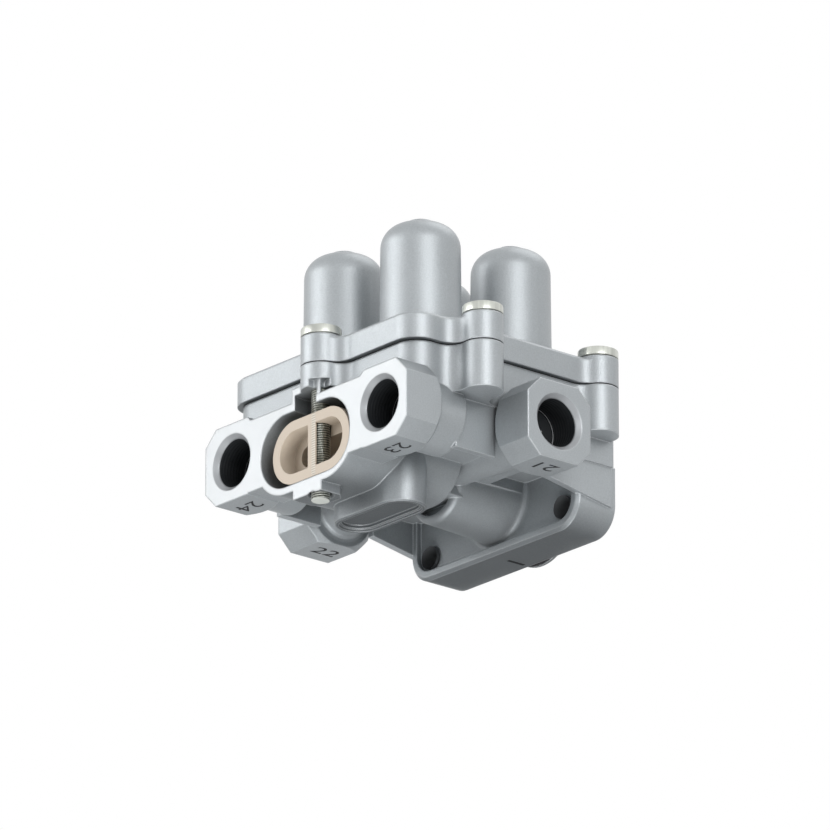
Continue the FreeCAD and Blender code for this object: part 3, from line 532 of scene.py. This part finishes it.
SOCKET_CONE = 0.8 * MM
print("a thread turn has", ROWS_PER_TURN, "rows of", AROUND, "points")


# %% Wave, hexagon and closed poles
def triangle_wave(turns):
    """1 at whole turns and 0 half-way between: |2 * fraction - 1|."""
    return np.abs((turns % 1) * 2 - 1)


def hexagon_radius(angle, half):
    """Radius of a hexagon at an angle: half its width over flats, divided by the cosine of the
    angle to the nearest flat's middle."""
    sixth = math.pi / 3
    return half / np.cos((angle % sixth) - sixth / 2)


def keep_depth(piece, depth):
    """Stores one number a point, 0 on a crest and 1 in a root, for the plating to read."""
    attribute = piece.data.attributes.new("root", "FLOAT", "POINT")
    attribute.data.foreach_set("value", depth.astype(np.float32).ravel())


def tidy_poles(piece):
    """Merges the points that fall together at the axis and drops the faces they close."""
    bpy.context.view_layer.objects.active = piece
    piece.select_set(True)
    bpy.ops.object.mode_set(mode="EDIT")
    bpy.ops.mesh.select_all(action="SELECT")
    bpy.ops.mesh.remove_doubles(threshold=1e-7)
    bpy.ops.mesh.normals_make_consistent(inside=False)
    bpy.ops.object.mode_set(mode="OBJECT")
    piece.select_set(False)


print("the wave at a quarter of a turn is", triangle_wave(0.25))


# %% Screw surface
def screw_surface(name, x, y, tip, threaded_to):
    """A screw as one grid, angle across and profile down the rows from tip to socket.

    Thread radius = shank - depth * (1 - triangle wave of height over pitch minus angle over one
    turn); the thread fades in a little at the tip and runs out wholly at its upper end.
    """
    angle = np.linspace(0, 2 * math.pi, AROUND, endpoint=False)
    turns = (threaded_to - tip) / THREAD_PITCH
    height = np.linspace(tip + TIP_CHAMFER, threaded_to, int(turns * ROWS_PER_TURN) + 1)
    wave = triangle_wave(height[:, None] / THREAD_PITCH - angle / (2 * math.pi))
    run_in = np.clip((height[:, None] - tip) / RUN_IN, RUN_IN_LEAST, 1)
    run_out = np.clip((threaded_to - height[:, None]) / RUN_OUT, 0, 1)
    thread = SHANK_RADIUS - THREAD_DEPTH * (1 - wave * np.minimum(run_in, run_out))
    rim = HEAD_RADIUS
    seat = SEAT_Z + SEAT_GAP
    under = seat + WASHER_HEIGHT
    after = [(SHANK_RADIUS - NECK[0], threaded_to + NECK[1]), (SHANK_RADIUS, seat),
             (WASHER_RADIUS, seat), (WASHER_RADIUS, under), (rim - HEAD_BEVEL, under),
             (rim, under + HEAD_BEVEL),
             *[(rim - inwards, SCREW_TOP - down) for inwards, down in HEAD_ROUND],
             *[(mouth, SCREW_TOP - down) for mouth, down in SOCKET_MOUTH]]
    ones = np.ones(AROUND)
    socket = hexagon_radius(angle, SOCKET_HALF)
    radius = np.array([0 * ones, (SHANK_RADIUS - TIP_CHAMFER) * ones, *thread,
                       *[r * ones for r, _ in after], socket, socket, 0 * ones])
    level = np.array([tip, tip, *height, *[z for _, z in after], SCREW_TOP - SOCKET_EDGE,
                      SCREW_TOP - SOCKET_DEEP, SCREW_TOP - SOCKET_DEEP - SOCKET_CONE])
    level = level[:, None] * ones
    depth = np.zeros_like(radius)
    depth[2:2 + len(height)] = (SHANK_RADIUS - thread) / THREAD_DEPTH
    points = np.stack([x + radius * np.cos(angle), y + radius * np.sin(angle), level], axis=-1)
    piece = make_piece(name, points, grid_faces(len(level), AROUND, True))
    keep_depth(piece, depth)
    tidy_poles(piece)
    sharpen(piece, 28)
    return piece


print("a head's hexagon is", 2 * SOCKET_HALF, "over flats")

# %% [markdown]
# ## Nickel plating
# Turned and plated screws mirror their surroundings in upright bands. An anisotropic shader
# could stretch real reflections, but the studio is too plain to show them. Noise that hardly
# changes with height, on the object's own coordinates, gives the bands in the colour instead. A
# second step darkens the roots of the thread by the depth that each point keeps.

# %% Streak group
BAND_NOISE = (3.0, 0.6)
BAND_RANGE = (0.32, 0.68)  # this part of the noise is spread over 0 to 1
ROOT_POWER = 1.3


def build_streaks():
    """Bands along Z: noise of (x, y, z * stretch) at a scale, spread over the full range."""
    group, start, end = new_group("upright_bands", [
        ("Vector", "NodeSocketVector", None),
        ("Scale", "NodeSocketFloat", 300.0),
        ("Stretch", "NodeSocketFloat", 0.02),
    ], [("Bands", "NodeSocketFloat")])
    parts = group.nodes.new("ShaderNodeSeparateXYZ")
    group.links.new(start.outputs["Vector"], parts.inputs[0])
    flat = group.nodes.new("ShaderNodeCombineXYZ")
    group.links.new(parts.outputs["X"], flat.inputs["X"])
    group.links.new(parts.outputs["Y"], flat.inputs["Y"])
    low = math_node(group, "MULTIPLY", parts.outputs["Z"], start.outputs["Stretch"])
    group.links.new(low, flat.inputs["Z"])
    noise = noise_node(group, flat.outputs[0], start.outputs["Scale"], *BAND_NOISE)
    spread = group.nodes.new("ShaderNodeMapRange")
    spread.inputs["From Min"].default_value = BAND_RANGE[0]
    spread.inputs["From Max"].default_value = BAND_RANGE[1]
    group.links.new(noise, spread.inputs["Value"])
    group.links.new(spread.outputs[0], end.inputs["Bands"])
    return group


STREAKS = build_streaks()
print("band group sockets:", len(STREAKS.interface.items_tree))


# %% Painted reflection bands and root shade
def streak(material, dark, scale):
    """Blends a darker colour into a metal by the band group."""
    tree = material.node_tree
    shader = tree.nodes["Principled BSDF"]
    coords = tree.nodes.new("ShaderNodeTexCoord")
    bands = tree.nodes.new("ShaderNodeGroup")
    bands.node_tree = STREAKS
    bands.inputs["Scale"].default_value = scale
    tree.links.new(coords.outputs["Object"], bands.inputs["Vector"])
    light = shader.inputs["Base Color"].links[0].from_socket
    blend = mix_colour(tree, bands.outputs["Bands"], (*dark, 1), light)
    tree.links.new(blend, shader.inputs["Base Color"])


def paint_root_shade(material, colour):
    """Blends a colour of painted shade into a material by each point's depth in the thread, to a
    power.
    """
    tree = material.node_tree
    shader = tree.nodes["Principled BSDF"]
    root = tree.nodes.new("ShaderNodeAttribute")
    root.attribute_name = "root"
    crest = shader.inputs["Base Color"].links[0].from_socket
    blend = mix_colour(tree, math_node(tree, "POWER", root.outputs["Fac"], ROOT_POWER), crest,
                       (*colour, 1))
    tree.links.new(blend, shader.inputs["Base Color"])


# The shade painted into a root grows with its depth to this power.
print("the oil in a root grows with its depth to the power", ROOT_POWER)

# %% [markdown]
# The five short screws are one node of the CAD model, so they are joined and take its place in
# one piece. The front screw is another. Its flat tip is ground and unplated, and that is a
# second material, given to the faces below the bevel.

# %% Place the screws
PLATE_METALLIC = 0.92
LONG_THREAD_TOP = 34.0 * MM
SHORT_THREAD_TOP = 36.0 * MM
plated = finish_material("nickel_plate", (0.74, 0.76, 0.70), PLATE_METALLIC, 0.3,
                         clouds=0.03, spread=0.05, grain=1500.0, bump=0.004)
streak(plated, (0.42, 0.43, 0.4), 190.0)
# Painted shade, near black, in the thread's roots.
paint_root_shade(plated, (0.02, 0.021, 0.018))
tip_plate = finish_material("ground_tip", (0.47, 0.49, 0.46), 0.0, 0.4, bump=0.002)
long_screw = screw_surface("threaded_front_screw", *FRONT_SCREW, SCREW_TIP, LONG_THREAD_TOP)
short_screws = join("short_cover_screws", [
    screw_surface(f"short_screw_{i}", x, y, SHORT_TIP, SHORT_THREAD_TOP)
    for i, (x, y) in enumerate(SHORT_SCREWS)])
for piece, node in ((long_screw, "long_screw"), (short_screws, "cover_screws")):
    piece.data.materials.clear()
    piece.data.materials.append(plated)
    piece.data.materials.append(tip_plate)
    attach(piece, HOUSING)
    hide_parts(node)
for face in long_screw.data.polygons:
    face.material_index = int(face.center.z < SCREW_TIP + TIP_CHAMFER)
print("front screw has", len(long_screw.data.polygons), "faces")

# %% [markdown]
# The insert's middle rib is so close to the front screw that the crests of the thread graze its
# face: a narrow toothed strip of metal shows down the cream plastic. Sinking the screw into the
# rib would make two solids overlap, so the strip is a piece of grid on the rib's face, whose
# half-width follows the same triangle wave as the thread.

# %% Grazed strip
STRIP_X = 5.5 * MM
STRIP_HALF = 1.4 * MM
STRIP_TOOTH = 0.45 * MM
STRIP_CROWN = 0.1 * MM
STRIP_GAP = 0.02 * MM
STRIP_END = 0.3 * MM
STRIP_COLUMNS = 7
STRIP_ROWS_A_TURN = 8
insert_low, insert_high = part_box("vent_insert")
rows = int((insert_high.z - insert_low.z - 2 * STRIP_END) / THREAD_PITCH * STRIP_ROWS_A_TURN)
height = np.linspace(insert_low.z + STRIP_END, insert_high.z - STRIP_END, rows)
across = np.linspace(-1, 1, STRIP_COLUMNS)
wave = triangle_wave(height / THREAD_PITCH)
half = STRIP_HALF - STRIP_TOOTH * (1 - wave)
strip_points = np.stack([
    STRIP_X + half[:, None] * across,
    insert_low.y - STRIP_CROWN * (1 - across ** 2) * np.ones((rows, 1)) - STRIP_GAP,
    height[:, None] * np.ones(STRIP_COLUMNS)], axis=-1)
grazed = finish_material("grazed_plating", (0.66, 0.62, 0.54), 0.0, 0.5, bump=0.004)
# Painted shade, brown on the cream, in the strip's narrow rows where the thread's roots lie.
paint_root_shade(grazed, (0.36, 0.31, 0.25))
strip = make_piece("grazed_thread", strip_points, grid_faces(rows, STRIP_COLUMNS, False))
keep_depth(strip, (1 - wave)[:, None] * np.ones(STRIP_COLUMNS))
strip.data.materials.append(grazed)
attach(strip, HOUSING)
print("grazed strip rows:", rows)

# %% [markdown]
# Above the pocket the mill has left a narrow upright bar of the casting beside the screw, and
# its front face lies in the milled plane. It is a thin plate of two boxes in the housing's own
# material, so the plane's mask brightens it without a finish of its own.

# %% Milled bar
BAR_STEPS = (((4.7, 25.2), (9.2, 28.6)), ((7.3, 19.8), (9.2, 25.2)))  # low and high x, z in mm
BAR_THICK = 0.9 * MM
BAR_PROUD = 0.01 * MM


def bar_step(low, high):
    """A box that stands in the milled plane between two corners given by x and z."""
    front = FRONT_Y + BAR_PROUD
    around = ((low[0] * MM, front), (high[0] * MM, front), (high[0] * MM, front + BAR_THICK),
              (low[0] * MM, front + BAR_THICK))
    points = np.array([[x, y, z * MM] for z in (low[1], high[1]) for x, y in around])
    faces = np.array([[3, 2, 1, 0], [4, 5, 6, 7], [0, 1, 5, 4], [1, 2, 6, 5], [2, 3, 7, 6],
                      [3, 0, 4, 7]])
    return make_piece("bar_step", points, faces, smooth=False)


bar = join("milled_bar", [bar_step(low, high) for low, high in BAR_STEPS])
bar.data.materials.append(body_metal)
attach(bar, HOUSING)
print("milled bar of", len(BAR_STEPS), "steps")

# %% [markdown]
# ## The O-ring
# A ring of black rubber seals the port 1 spigot. The CAD ring has six flats to stay light.
# Blender has a torus of its own, but the ring's sizes are read from the CAD node's box, so a
# small circle is carried round a large one in the same grid way as the other pieces.

# %% O-ring
RING_AROUND = 96
RING_SECTION = 17
ring_low, ring_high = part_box("port_1_o_ring")
ring_wire = (ring_high.y - ring_low.y) / 2
ring_radius = (ring_high.x - ring_low.x) / 2 - ring_wire
around = np.linspace(0, 2 * math.pi, RING_AROUND, endpoint=False)
section = np.linspace(0, 2 * math.pi, RING_SECTION)
reach = ring_radius + ring_wire * np.cos(section)[:, None]
ring_points = np.stack([
    reach * np.cos(around),
    (ring_low.y + ring_high.y) / 2 + ring_wire * np.sin(section)[:, None] * np.ones(RING_AROUND),
    (ring_low.z + ring_high.z) / 2 + reach * np.sin(around)], axis=-1)
o_ring = make_piece("rubber_o_ring", ring_points, grid_faces(RING_SECTION, RING_AROUND, True))
tidy_poles(o_ring)
o_ring.data.materials.append(rubber)
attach(o_ring, HOUSING)
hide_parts("port_1_o_ring")
print("O-ring radius", ring_radius, "wire", ring_wire)

# %% [markdown]
# ## The springs
# Each dome holds a helical spring between the fixed spring plate and the piston. The CAD wire
# has six flats, so a round one takes its place: a circle carried along the helix, across the
# wire's own direction. A curve with a round bevel would look the same, but it would have to be
# turned into a mesh before it could be squeezed.

# %% Springs
SPRING_RADIUS = 9.6 * MM
SPRING_WIRE = 1.7 * MM
SPRING_TURNS = 4
SPRING_STEPS = 56
SPRING_AROUND = 18
SPRING_END = 0.9


def wound_spring(circuit):
    """A helix of round wire: the centre line is radius * (cos t, sin t) and rises evenly; two
    more rows at each end shrink to a point and close the wire."""
    low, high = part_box("spring_" + circuit)
    middle = (low + high) / 2
    steps = SPRING_TURNS * SPRING_STEPS
    t = np.linspace(0, 2 * math.pi * SPRING_TURNS, steps)
    rise = (high.z - low.z - 2 * SPRING_WIRE) / t[-1]
    centre = np.stack([middle.x + SPRING_RADIUS * np.cos(t), middle.y + SPRING_RADIUS * np.sin(t),
                       low.z + SPRING_WIRE + rise * t], axis=-1)
    outward = np.stack([np.cos(t), np.sin(t), 0 * t], axis=-1)
    slope = math.hypot(SPRING_RADIUS, rise)
    along = np.stack([-SPRING_RADIUS * np.sin(t), SPRING_RADIUS * np.cos(t), rise + 0 * t],
                     axis=-1) / slope
    upward = np.cross(along, outward)
    centre, outward, upward = (np.pad(rows, ((2, 2), (0, 0)), mode="edge")
                               for rows in (centre, outward, upward))
    wire = np.full(steps, SPRING_WIRE)
    wire = np.concatenate([[0, SPRING_END * SPRING_WIRE], wire, [SPRING_END * SPRING_WIRE, 0]])
    around = np.linspace(0, 2 * math.pi, SPRING_AROUND, endpoint=False)
    points = (centre[:, None]
              + (wire[:, None] * np.cos(around))[..., None] * outward[:, None]
              + (wire[:, None] * np.sin(around))[..., None] * upward[:, None])
    piece = make_piece("wound_spring_" + circuit, points,
                       grid_faces(len(centre), SPRING_AROUND, True))
    tidy_poles(piece)
    sharpen(piece, 40)
    piece.data.materials.append(spring_wire)
    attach(piece, HOUSING)
    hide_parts("spring_" + circuit)
    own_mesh(piece)
    return piece


for circuit in CIRCUITS:
    spring = wound_spring(circuit)
print("each spring has", len(spring.data.polygons), "faces")

# %% [markdown]
# ## Linings of the bores
# The four ports take M22 fittings. The housing's bores are plain in the CAD model, at the
# thread's core radius, so each gets a thin sleeve of painted shade whose inner side carries the
# helical ridge. The sleeve is a grid like the screw's shank, but it is seen from within. At its
# end a turned lip catches the light round a bottom of painted shade. The two drilled bolt holes
# of the flange get plain linings of painted shade. A darker colour in the housing's material
# would do for plain holes, but a thread needs a true ridge to show its lines.

# %% Bore surface
BORE_AROUND = 64


def bore_surface(name, start, outward, radius, depth, smooth=True):
    """A surface about a line into a face: start - depth * outward + radius * (cos a * across +
    sin a * up), for each depth and angle a, with its faces turned inwards."""
    angle = np.linspace(0, 2 * math.pi, BORE_AROUND, endpoint=False)
    across = outward.cross(Vector((0, 0, 1)))
    points = (np.array(start) - depth[..., None] * np.array(outward)
              + (radius * np.cos(angle))[..., None] * np.array(across)
              + (radius * np.sin(angle))[..., None] * np.array((0.0, 0.0, 1.0)))
    faces = grid_faces(len(depth), BORE_AROUND, True)[:, ::-1]
    return make_piece(name, points, faces, smooth)


def revolve(name, start, outward, profile):
    """A bore surface with flat faces from a profile of (radius, depth) pairs."""
    radius, depth = (np.array(values)[:, None] for values in zip(*profile))
    return bore_surface(name, start, outward, radius, depth, smooth=False)


def line_bore(piece, *materials):
    """Gives a lining its materials and hangs it on the housing."""
    for material in materials:
        piece.data.materials.append(material)
    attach(piece, HOUSING)


# The bore linings are painted shade: near black in the port threads and bottoms, dark grey in the
# bolt holes.
bore_shade = finish_material("painted_bore_shade", (0.012, 0.014, 0.016), 0.0, 0.5, bump=0.004)
drilled = finish_material("drilled_shade", (0.085, 0.09, 0.095), 0.3, 0.5, bump=0.02)
lip_metal = finish_material("turned_lip", (0.7, 0.72, 0.74), 0.3, 0.35, bump=0.002)
print("bore surfaces have", BORE_AROUND, "points round")

# %% Port threads and bottoms
PORT_PITCH = 1.5 * MM
SLEEVE_SKIN = 0.05 * MM
SLEEVE_RIDGE = 0.14 * MM
SLEEVE_FROM = 2.2 * MM
SLEEVE_TO = PORT_DEPTH - 0.6 * MM
SLEEVE_ROWS = 56
BOTTOM_DEPTH = PORT_DEPTH - 0.1 * MM
BOTTOM_PROFILE = ((PORT_RADIUS - SLEEVE_SKIN, 0.45 * MM), (PORT_RADIUS - 0.35 * MM, 0.5 * MM),
                  (PORT_RADIUS - 0.5 * MM, 0.0), (4.4 * MM, 0.0))  # radius, height over bottom


def port_sleeve(circuit):
    """Inner thread of one port: radius = bore minus skin minus ridge times a triangle wave of
    depth over pitch minus angle over one turn."""
    angle = np.linspace(0, 2 * math.pi, BORE_AROUND, endpoint=False)
    depth = np.linspace(SLEEVE_FROM, SLEEVE_TO, SLEEVE_ROWS)[:, None]
    wave = triangle_wave(depth / PORT_PITCH - angle / (2 * math.pi))
    radius = PORT_RADIUS - SLEEVE_SKIN - SLEEVE_RIDGE * wave
    return bore_surface("thread_" + circuit, *PORT_FACES[circuit], radius, depth)


for circuit, (face, outward) in PORT_FACES.items():
    line_bore(port_sleeve(circuit), bore_shade)
    bottom = revolve("bottom_" + circuit, face, outward,
                     [(radius, BOTTOM_DEPTH - above) for radius, above in BOTTOM_PROFILE])
    line_bore(bottom, lip_metal, bore_shade)
    for polygon in bottom.data.polygons:
        polygon.material_index = int(polygon.index >= BORE_AROUND)  # the first ring is the lip
print("ports lined:", len(PORT_FACES))

# %% Bolt holes
BOLT_X = 41.5 * MM
BOLT_Z = -13.1 * MM
BOLT_RADIUS = 4.94 * MM
BOLT_FACE = -20.5 * MM
BOLT_PROFILE = ((BOLT_RADIUS, 0.9 * MM), (BOLT_RADIUS, -BOLT_FACE - 0.3 * MM))
for side in (-1, 1):
    line_bore(revolve(f"bolt_lining_{side}", (side * BOLT_X, BOLT_FACE, BOLT_Z),
                      Vector((0, -1, 0)), BOLT_PROFILE), drilled)
print("bolt holes lined at", BOLT_X, "either side")

# %% [markdown]
# ## The cast numbers
# Each port's number stands on the lower facet of its octagon, and a 1 under the flange names
# the supply port. They are thin strokes of painted shade, darker than the metal round them, in
# place of the shade in cut grooves. They could be cut into the casting, but its mesh is left
# alone. Blender's own text gives the strokes; made into a mesh, each is widened and set on its
# facet by a matrix of three directions.

# %% Numbers
FACET_GAP = 0.03 * MM
NUMBER_HEIGHT = 6.9 * MM
NUMBER_WIDTH = 1.3
NUMBER_THICK = 0.02 * MM
DIGIT_SHARE = 0.7  # a digit's height as a share of the text size
SUPPLY_LARGER = 1.3
# The numbers are painted shade, near black.
number_shade = finish_material("painted_number_shade", (0.01, 0.011, 0.012), 0.0, 0.7, bump=0.004)


def number_on_facet(text, centre, right, up, larger=1.0):
    """A number as a thin mesh: x runs along right, y along up, and z out of the facet."""
    curve = bpy.data.curves.new("digits_" + text, "FONT")
    curve.body = text
    curve.align_x = "CENTER"
    curve.align_y = "CENTER"
    curve.size = NUMBER_HEIGHT / DIGIT_SHARE
    curve.extrude = NUMBER_THICK
    flat = bpy.data.objects.new("flat_" + text, curve)
    bpy.context.scene.collection.objects.link(flat)
    bpy.context.view_layer.update()
    mesh = bpy.data.meshes.new_from_object(flat)
    bpy.data.objects.remove(flat)
    right, up = Vector(right), Vector(up)
    out = right.cross(up)
    turn = Matrix((right, up, out)).transposed().to_4x4()
    wide = Matrix.Diagonal((NUMBER_WIDTH * larger, larger, 1, 1))
    mesh.transform(Matrix.Translation(Vector(centre) + out * FACET_GAP) @ turn @ wide)
    piece = bpy.data.objects.new("number_" + text, mesh)
    bpy.context.scene.collection.objects.link(piece)
    mesh.materials.clear()
    mesh.materials.append(number_shade)
    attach(piece, HOUSING)
    return piece


FACET_23 = 6.8 * MM - OCTAGON_HALF
FACET_21 = 5.8 * MM - OCTAGON_HALF
FLANGE_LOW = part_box("body")[0].z + 0.6 * MM
number_on_facet("23", (45.6 * MM, -111.3 * MM, FACET_23), (-1, 0, 0), (0, 1, 0))
number_on_facet("24", (-47.4 * MM, -111.3 * MM, FACET_23), (-1, 0, 0), (0, 1, 0))
number_on_facet("21", (69.6 * MM, -53.0 * MM, FACET_21), (0, -1, 0), (-1, 0, 0))
number_on_facet("22", (-69.0 * MM, -52.6 * MM, FACET_21), (0, 1, 0), (1, 0, 0))
number_on_facet("1", (-1.2 * MM, -6.6 * MM, FLANGE_LOW), (1, 0, 0), (0, -1, 0), SUPPLY_LARGER)
print("numbers stand", FACET_GAP, "off their facets")

# %% [markdown]
# ## Studio
# A catalogue photograph is taken against white paper. A world of plain white would light every
# side of the valve alike and wash the castings out. So the Light Path node tells the rays apart:
# the world is white to the camera, in gloss and through glass, and as a light it is a soft grey,
# a little stronger from below.

# %% World
WORLD_SIDE = 0.34
WORLD_BELOW = 0.4
WORLD_RAMP = (-0.7, 0.5)  # the heights between which the light changes from below to side


def seen_rays(tree):
    """1 for rays that show a surface: from the camera, by gloss or through glass; else 0."""
    path = tree.nodes.new("ShaderNodeLightPath")
    gloss = math_node(tree, "ADD", path.outputs["Is Camera Ray"], path.outputs["Is Glossy Ray"])
    return math_node(tree, "ADD", gloss, path.outputs["Is Transmission Ray"], clamp=True)


world = bpy.data.worlds.new("studio")
bpy.context.scene.world = world
world.use_nodes = True
tree = world.node_tree
background = tree.nodes["Background"]
coords = tree.nodes.new("ShaderNodeTexCoord")
parts = tree.nodes.new("ShaderNodeSeparateXYZ")
tree.links.new(coords.outputs["Generated"], parts.inputs[0])
ramp = tree.nodes.new("ShaderNodeMapRange")
for label, value in (("From Min", WORLD_RAMP[0]), ("From Max", WORLD_RAMP[1]),
                     ("To Min", WORLD_BELOW), ("To Max", WORLD_SIDE)):
    ramp.inputs[label].default_value = value
tree.links.new(parts.outputs["Z"], ramp.inputs["Value"])
level = tree.nodes.new("ShaderNodeMix")
level.data_type = "FLOAT"
tree.links.new(seen_rays(tree), level.inputs[0])
tree.links.new(ramp.outputs[0], level.inputs[2])
level.inputs[3].default_value = 1.0
tree.links.new(level.outputs[0], background.inputs["Strength"])
background.inputs["Color"].default_value = (1, 1, 1, 1)
print("world is", WORLD_SIDE, "at the sides and", WORLD_BELOW, "below")

# %% [markdown]
# A pale floor lies under the valve for the views from above. The photograph looks up from below
# it, so the floor's back is clear. It is also clear to the rays that only carry light, so that
# it neither shades the underside nor brightens it.

# %% Floor
FLOOR_GAP = 0.4 * MM
FLOOR_HALF = 6
FLOOR_Z = CAD_BOX[0][2] - FLOOR_GAP
floor_points = np.array([[x * FLOOR_HALF, y * FLOOR_HALF, FLOOR_Z]
                         for x, y in ((-1, -1), (1, -1), (1, 1), (-1, 1))])
floor = make_piece("floor", floor_points, np.array([[0, 1, 2, 3]]), smooth=False)
paper = bpy.data.materials.new("pale_paper")
paper.use_nodes = True
tree = paper.node_tree
shader = tree.nodes["Principled BSDF"]
shader.inputs["Base Color"].default_value = (0.88, 0.88, 0.88, 1)
shader.inputs["Roughness"].default_value = 0.9
clear = tree.nodes.new("ShaderNodeBsdfTransparent")
chooser = tree.nodes.new("ShaderNodeMixShader")
geometry = tree.nodes.new("ShaderNodeNewGeometry")
front = math_node(tree, "SUBTRACT", 1.0, geometry.outputs["Backfacing"])
shown = math_node(tree, "MULTIPLY", front, seen_rays(tree))
tree.links.new(shown, chooser.inputs[0])
tree.links.new(clear.outputs[0], chooser.inputs[1])
tree.links.new(shader.outputs[0], chooser.inputs[2])
tree.links.new(chooser.outputs[0], tree.nodes["Material Output"].inputs["Surface"])
floor.data.materials.append(paper)
print("floor at", FLOOR_Z)

# %% [markdown]
# Four soft lamps stand round the valve. The strongest is low in front, because the photograph
# shows the underside nearly as bright as the sides. One at the right fills the port faces there,
# one at the front left makes the milled plane shine, and a weak one high at the back draws the
# shoulders of the domes. A small hard lamp would throw edges of shadow that the photograph
# doesn't have.

# %% Lamps
def soft_lamp(name, direction, distance, size, power):
    """A square area lamp that looks at the valve from a direction."""
    data = bpy.data.lights.new(name, "AREA")
    data.size = size
    data.energy = power
    lamp = bpy.data.objects.new(name, data)
    lamp.location = VALVE_MIDDLE + Vector(direction).normalized() * distance
    lamp.rotation_euler = (VALVE_MIDDLE - lamp.location).to_track_quat("-Z", "Y").to_euler()
    bpy.context.scene.collection.objects.link(lamp)
    return lamp


soft_lamp("key_front_left", (-0.5, -0.9, 0.15), 1.2, 0.9, 8)
soft_lamp("fill_right", (1.0, -0.35, 0.1), 1.5, 0.8, 12)
soft_lamp("top_back", (0.1, 0.5, 1.0), 1.3, 0.9, 3)
soft_lamp("low_front", (0.15, -0.3, -1.0), 1.4, 0.9, 16)
print("lamps:", len(bpy.data.lights))

# %% [markdown]
# ## Camera
# The photograph is nearly free of perspective, so a long lens stands far away, low on the right
# of the front face and looking up. Its direction, and the point at the picture's middle, were
# fitted to the domes and ports of the photograph.

# %% Camera
LENS = 500.0
SENSOR = 36.0
FRAME_WIDTH = 0.3402
AWAY = Vector((0.716, -0.609, -0.340)).normalized()
RIGHT = Vector((0.648, 0.762, 0.0)).normalized()
UP = AWAY.cross(RIGHT)
AIM_LEFT = 4.84
AIM_DOWN = 5.0
AIM = VALVE_MIDDLE - RIGHT * AIM_LEFT * MM - UP * AIM_DOWN * MM
camera_data = bpy.data.cameras.new("camera")
camera_data.lens = LENS
camera_data.sensor_width = SENSOR
camera_data.clip_end = 30.0
camera = bpy.data.objects.new("camera", camera_data)
camera.location = AIM + AWAY * FRAME_WIDTH * LENS / SENSOR
camera.rotation_mode = "QUATERNION"
camera.rotation_quaternion = Matrix((RIGHT, UP, AWAY)).transposed().to_quaternion()
bpy.context.scene.collection.objects.link(camera)
bpy.context.scene.camera = camera
bpy.context.scene.view_settings.view_transform = "Standard"
print("camera at", tuple(round(value, 3) for value in camera.location))
